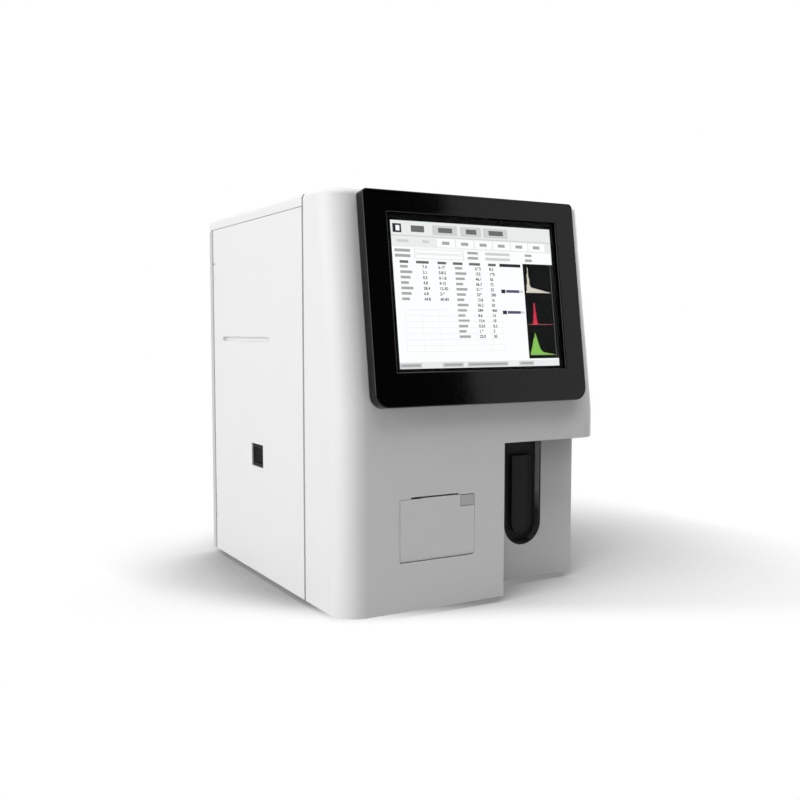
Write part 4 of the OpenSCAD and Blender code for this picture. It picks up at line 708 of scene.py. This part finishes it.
def paint_shade_over(material, share):
    """Paints shade over a finish: multiplies its colour by a value that changes over the surface."""
    tree = material.node_tree
    shader = tree.nodes["Principled BSDF"]
    tint = tree.nodes.new("ShaderNodeMix")
    tint.data_type = "RGBA"
    tint.blend_type = "MULTIPLY"
    tint.inputs[0].default_value = 1.0
    tree.links.new(shader.inputs["Base Color"].links[0].from_socket, tint.inputs[6])
    tree.links.new(share, tint.inputs[7])
    tree.links.new(tint.outputs[2], shader.inputs["Base Color"])


# Painted light: the right inner wall of the liner, which faces the left lamp, is painted light grey,
# and painted shade darkens it towards its foot.
tree = liner_wall_painted_light.node_tree
place = tree.nodes.new("ShaderNodeTexCoord")
split = tree.nodes.new("ShaderNodeSeparateXYZ")
height = tree.nodes.new("ShaderNodeMapRange")
height.inputs["From Min"].default_value = 0.088
height.inputs["From Max"].default_value = 0.116
height.inputs["To Min"].default_value = 0.2
tree.links.new(place.outputs["Object"], split.inputs[0])
tree.links.new(split.outputs["Z"], height.inputs["Value"])
paint_shade_over(liner_wall_painted_light, height.outputs["Result"])
liner = eased("key_liner", liner_black, 0.0005)
liner.data.materials.append(liner_wall_painted_light)
liner_low, liner_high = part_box("key_liner")
# The liner's right inner wall takes the painted light.
for face in liner.data.polygons:
    if face.normal.x < -0.5 and face.center.x > (liner_low.x + liner_high.x) / 2:
        face.material_index = 1
eased("aspirate_key", key_black, 0.0008, 3)
# Painted shade: the underside of the bay's ceiling is painted dark, so that the top of the bay's wall
# lies in deeper shade.
bay_roof_painted_shade = finish("bay_roof_painted_shade", "#2c2c2e", 0.55, spread=0.05, grain=1600, relief=0.15)
bay_top, bay_left, bay_back = 0.182, 0.032, liner_low.y
wall_near = 0.0008
painted(front_cover, bay_roof_painted_shade, lambda at: abs(at.z - bay_top) < hair and at.x > bay_left)
# Painted shade: the bay's back wall darkens by occlusion towards its ceiling and side wall, multiplied
# into its white.
bay_wall_painted_shade = finish("bay_wall_painted_shade", "#ececec", 0.48, spread=0.006, grain=1800, relief=0.10, gloss=0.35)
corners = bay_wall_painted_shade.node_tree.nodes.new("ShaderNodeAmbientOcclusion")
corners.only_local = True
corners.inputs["Distance"].default_value = 0.055
paint_shade_over(bay_wall_painted_shade, corners.outputs["AO"])


def on_bay_wall(at):
    """Whether a place is on the bay's back wall, below the ceiling."""
    return abs(at.y - bay_back) < wall_near and at.x > bay_left and at.z < bay_top


painted(front_cover, bay_wall_painted_shade, on_bay_wall)
eased("key_switch", black_plastic, 0.0003)
spring_steel = finish("spring_steel", "#b4b7b9", 0.3, spread=0.05, grain=1500, relief=0.05, metal=1.0)
springs = open_copy("key_springs", "key_springs_skin")
close_piece(springs)
stand_in(springs, "key_springs", spring_steel)
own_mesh(springs)


# Display bezel: a slab of black gloss plastic screwed to the leaning face, with
# larger corners below than above.
bezel_black = finish("bezel_black", "#060607", 0.08, spread=0.05, grain=300, relief=0.004, gloss=0.28)
eased("display_bezel", bezel_black, 0.0012, 3)


# Mains switch: a black moulded rocker in a housing that snaps into its own bracket, so
# that it stays where it is when the service door swings.
switch_black = finish("switch_black", "#0a0a0b", 0.4, spread=0.08, grain=1700, relief=0.12, gloss=0.06)
eased("switch_housing", switch_black, 0.0005)
eased("switch_rocker", switch_black, 0.0005)


# Covers: top, right side and the hinged left door, moulded in the same white plastic
# as the front. The door swings on pins in a painted post at the rear.
top_cover = open_copy("top_cover", "top_cover_skin")
round_rim(top_cover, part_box("top_cover")[0].y)
ease_edges(shell_edge, 2)
close_piece(top_cover)
stand_in(top_cover, "top_cover", shell_white)
eased("right_cover", shell_white, 0.0008)

left_door = open_copy("left_door", "left_door_skin")
panel_low, panel_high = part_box("left_door")
# The door's skin is a little taller than its solid, so that the joint above it is fine.
panel_growth = 0.0005
taller = 1 + panel_growth / (panel_high.z - panel_low.z)
bpy.ops.mesh.select_all(action="SELECT")
bpy.ops.transform.resize(value=(1, 1, taller), center_override=(0, 0, panel_low.z))
ease_edges(0.0006, 2)
close_piece(left_door)
stand_in(left_door, "left_door", shell_white)
post_paint = finish("post_paint", "#e4e4e3", 0.5, spread=0.01, grain=1500, relief=0.15)
eased("hinge_post", post_paint, 0.0003)
eased("door_hinge_pins", post_paint, 0.0002)


# Screen: a ten-inch liquid crystal panel behind coated touch glass. The glass has a
# black printed border; the picture is result columns, a bar of tabs and three curves.
lit_w, lit_h = 0.2112, 0.1584
lit_drop = 0.0018
lean = math.radians(8)
glass_low, glass_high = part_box("touch_glass")
glass_mid = (glass_low + glass_high) / 2
glass_t = 0.002
glass_w = glass_high.x - glass_low.x
glass_h = (glass_high.z - glass_low.z - glass_t * math.sin(lean)) / math.cos(lean)
picture_y = 0.00092
layer_t = 0.00006
border_y = picture_y - 6 * layer_t
upright = (math.pi / 2, 0, 0)


def lit(name, code):
    """A tone of the picture: dots of light in a fine grid, over a slightly uneven lamp."""
    material = bpy.data.materials.new(name)
    material.use_nodes = True
    tree = material.node_tree
    shader = tree.nodes["Principled BSDF"]
    shader.inputs["Base Color"].default_value = (0.004, 0.004, 0.004, 1)
    shader.inputs["Roughness"].default_value = 0.6
    shader.inputs["Specular IOR Level"].default_value = 0.0
    shader.inputs["Emission Color"].default_value = linear(code) + [1]
    place = tree.nodes.new("ShaderNodeTexCoord")
    dots = tree.nodes.new("ShaderNodeTexChecker")
    dots.inputs["Color1"].default_value = (1, 1, 1, 1)
    dots.inputs["Color2"].default_value = (0.95, 0.95, 0.95, 1)
    dots.inputs["Scale"].default_value = 3000
    behind = tree.nodes.new("ShaderNodeTexNoise")
    behind.inputs["Scale"].default_value = 12
    level = tree.nodes.new("ShaderNodeMapRange")
    level.inputs["To Min"].default_value = 1.04
    level.inputs["To Max"].default_value = 1.10
    glow = tree.nodes.new("ShaderNodeMath")
    glow.operation = "MULTIPLY"
    for texture in (dots, behind):
        tree.links.new(place.outputs["Object"], texture.inputs["Vector"])
    tree.links.new(behind.outputs["Fac"], level.inputs["Value"])
    tree.links.new(dots.outputs["Color"], glow.inputs[0])
    tree.links.new(level.outputs["Result"], glow.inputs[1])
    tree.links.new(glow.outputs[0], shader.inputs["Emission Strength"])
    return material


def lean_back(piece):
    """Turns a piece modelled upright round the glass's middle into the leaning face."""
    piece.location = glass_mid
    piece.rotation_euler = (-lean, 0, 0)
    bpy.ops.object.select_all(action="DESELECT")
    piece.select_set(True)
    bpy.context.view_layer.objects.active = piece
    bpy.ops.object.transform_apply(location=True, rotation=True, scale=True)


tones = {"white": "#ffffff", "pale": "#ededed", "silver": "#d2d2d2", "grey": "#a9a9a9",
         "slate": "#6c6c6e", "ink": "#2c2c30", "black": "#060607", "red": "#d8324a",
         "green": "#86c157", "violet": "#5a4a72", "cream": "#d9d2c2"}
bpy.ops.object.select_all(action="DESELECT")
bpy.ops.mesh.primitive_plane_add(size=1, location=(0, picture_y, -lit_drop), rotation=upright)
picture = bpy.context.object
picture.name = "screen_picture"
picture.scale = (lit_w, lit_h, 1)
bpy.ops.object.transform_apply(location=True, rotation=True, scale=True)
for tone, code in tones.items():
    picture.data.materials.append(lit("lit_" + tone, code))
bpy.ops.object.mode_set(mode="EDIT")


def plate(left, top, right, low, tone, layer=1):
    """One patch of the picture, its sides in shares of the lit width and height."""
    across = (left + right - 1) / 2 * lit_w
    up = (1 - top - low) / 2 * lit_h - lit_drop
    middle = (across, picture_y - layer * layer_t, up)
    bpy.ops.mesh.primitive_plane_add(size=1, location=middle, rotation=upright)
    size = ((right - left) * lit_w, 1, (low - top) * lit_h)
    bpy.ops.transform.resize(value=size, center_override=middle)
    picture.active_material_index = list(tones).index(tone)
    bpy.ops.object.material_slot_assign()


plate(0, 0, 1, 0.098, "pale")
plate(0.012, 0.022, 0.062, 0.082, "ink", 2)
plate(0.03, 0.034, 0.052, 0.07, "white", 3)
plate(0.118, 0.03, 0.196, 0.074, "slate", 2)
for left, right in ((0.245, 0.395), (0.415, 0.545), (0.558, 0.715)):
    plate(left, 0.02, right, 0.088, "silver", 2)
    plate(left + 0.035, 0.036, right - 0.03, 0.07, "slate", 3)
plate(0, 0.105, 1, 0.178, "pale")
plate(0, 0.098, 1, 0.105, "silver", 2)
plate(0.03, 0.128, 0.10, 0.146, "silver", 2)
plate(0.18, 0.128, 0.22, 0.146, "silver", 2)
for i in range(6):
    left = 0.268 + 0.116 * i
    plate(left, 0.112, left + 0.108, 0.17, "white", 2)
    plate(left + 0.03, 0.13, left + 0.075, 0.152, "grey", 3)
for top in (0.192, 0.228):
    plate(0.015, top, 0.105, top + 0.02, "grey")
    plate(0.128, top - 0.004, 0.425, top + 0.026, "silver")
    plate(0.131, top - 0.001, 0.422, top + 0.023, "white", 2)
    plate(0.45, top, 0.515, top + 0.018, "grey")
    plate(0.56, top, 0.72, top + 0.02, "silver")
    plate(0.82, top, 0.865, top + 0.018, "grey")
for left, right in ((0.04, 0.09), (0.135, 0.21), (0.262, 0.315), (0.355, 0.415), (0.455, 0.525),
                    (0.575, 0.625)):
    plate(left, 0.27, right, 0.288, "slate")
plate(0.648, 0.268, 0.785, 0.29, "ink")
for top in (0.452, 0.602):
    plate(0.648, top, 0.675, top + 0.026, "ink")
    plate(0.68, top + 0.002, 0.765, top + 0.022, "violet")
    plate(0.765, top + 0.004, 0.79, top + 0.02, "silver")
row_pitch = 0.0365
for row in range(14):
    top = 0.302 + row_pitch * row
    wide = 0.012 * (row * 5 % 3)
    if row < 7:
        plate(0.04, top, 0.085 + wide, top + 0.018, "grey")
    plate(0.366, top, 0.41 + wide, top + 0.018, "grey")
for row in range(8):
    top = 0.60 + 0.0405 * row
    plate(0.05, top, 0.64, top + 0.003, "pale")
for across in (0.05, 0.15, 0.25, 0.36, 0.47, 0.57, 0.64):
    plate(across, 0.60, across + 0.002, 0.884, "pale", 2)

plate(0.80, 0.262, 1.0, 0.945, "black")
curves = (("cream", 0.47, 0.08, 0.15, 0.05, 0.045), ("red", 0.70, 0.27, 0.16, 0.06, 0.0),
          ("green", 0.92, 0.2, 0.13, 0.15, 0.035))
for tone, foot, crest, peak, narrow, tail in curves:
    plate(0.81, foot, 0.975, foot + 0.002, "slate", 2)
    for step in range(33):
        along = step / 32
        height = peak * math.exp(-(((along - crest) / narrow) ** 2))
        if along > crest:
            height += tail * (1 - along)
        left = 0.812 + 0.005 * step
        plate(left, foot - height - 0.002, left + 0.005, foot, tone, 3)
plate(0.984, 0.262, 0.987, 0.945, "slate", 2)

plate(0, 0.955, 1, 1, "pale")
for left, right in ((0, 0.13), (0.25, 0.38), (0.40, 0.66), (0.73, 0.83)):
    plate(left, 0.962, right, 0.995, "silver", 2)
    plate(left + 0.01, 0.97, right - 0.01, 0.986, "grey", 3)
bpy.ops.object.mode_set(mode="OBJECT")

columns = ((0.17, "7.4\n2.1\n0.5\n4.8\n28.4\n6.8\n64.8"),
           (0.265, "6-17\n0.8-5\n0-1.8\n4-12\n12-30\n2-9\n60-83"),
           (0.49, "6.92\n152\n46.1\n66.7\n21.9\n329\n13.8\n36.2\n284\n8.6\n15.4\n0.24\n1.9\n22.0"),
           (0.58, "8.5\n190\n56\n72\n25\n380\n16\n50\n460\n13\n18\n0.5\n5\n50"))
digits_h, digits_fuller = 0.0046, 0.00012
first_line = (0.5 - 0.32) * lit_h - lit_drop
for across, figures in columns:
    start = ((across - 0.5) * lit_w, picture_y - 2 * layer_t, first_line)
    bpy.ops.object.select_all(action="DESELECT")
    bpy.ops.object.text_add(location=start, rotation=upright)
    column = bpy.context.object
    column.data.body = figures
    column.data.size = digits_h
    column.data.space_line = row_pitch * lit_h / digits_h
    column.data.align_x = "LEFT"
    column.data.offset = digits_fuller
    column.data.materials.append(picture.data.materials["lit_ink"])
    bpy.ops.object.convert(target="MESH")
    column = bpy.context.object
    bpy.ops.object.transform_apply(location=True, rotation=True, scale=True)
    picture.select_set(True)
    bpy.context.view_layer.objects.active = picture
    bpy.ops.object.join()
lean_back(picture)
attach(picture, frame["nodes"]["lcd_panel"]["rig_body"])

lcd_can = finish("lcd_can", "#9da1a4", 0.35, spread=0.06, grain=700, relief=0.05, metal=0.9)
eased("lcd_panel", lcd_can, 0.0002)

border_black = finish("border_black", "#030303", 0.5, spread=0.1, grain=1500, relief=0.02, gloss=0.05)
border_in = 0.0003
bpy.ops.object.select_all(action="DESELECT")
bpy.ops.mesh.primitive_plane_add(size=1, location=(0, border_y, 0), rotation=upright)
border = bpy.context.object
border.name = "glass_border"
border.scale = (glass_w - 2 * border_in, glass_h - 2 * border_in, 1)
bpy.ops.object.transform_apply(location=True, rotation=True, scale=True)
bpy.ops.object.mode_set(mode="EDIT")
bpy.ops.mesh.select_mode(type="FACE")
bpy.ops.mesh.select_all(action="SELECT")
bpy.ops.mesh.inset(thickness=(glass_w - lit_w) / 2 - border_in)
bpy.ops.transform.translate(value=(0, 0, -lit_drop))
bpy.ops.mesh.delete(type="FACE")
bpy.ops.object.mode_set(mode="OBJECT")
border.data.materials.append(border_black)
lean_back(border)
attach(border, frame["nodes"]["touch_glass"]["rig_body"])

coated_glass = finish("coated_glass", "#f6fbfa", 0.06, spread=0.004, grain=300, relief=0.0)
pane = coated_glass.node_tree.nodes["Principled BSDF"]
pane.inputs["Transmission Weight"].default_value = 1.0
pane.inputs["IOR"].default_value = 1.1
bpy.ops.object.select_all(action="DESELECT")
bpy.ops.mesh.primitive_cube_add(size=1)
glass = bpy.context.object
glass.name = "touch_glass_skin"
glass_front, glass_back = -glass_t / 2, border_y - 2 * layer_t
glass.scale = (glass_w, glass_back - glass_front, glass_h)
glass.location.y = (glass_front + glass_back) / 2
bpy.ops.object.transform_apply(location=True, rotation=True, scale=True)
bpy.ops.object.mode_set(mode="EDIT")
ease_edges(0.0003, 2)
close_piece(glass)
lean_back(glass)
stand_in(glass, "touch_glass", coated_glass)
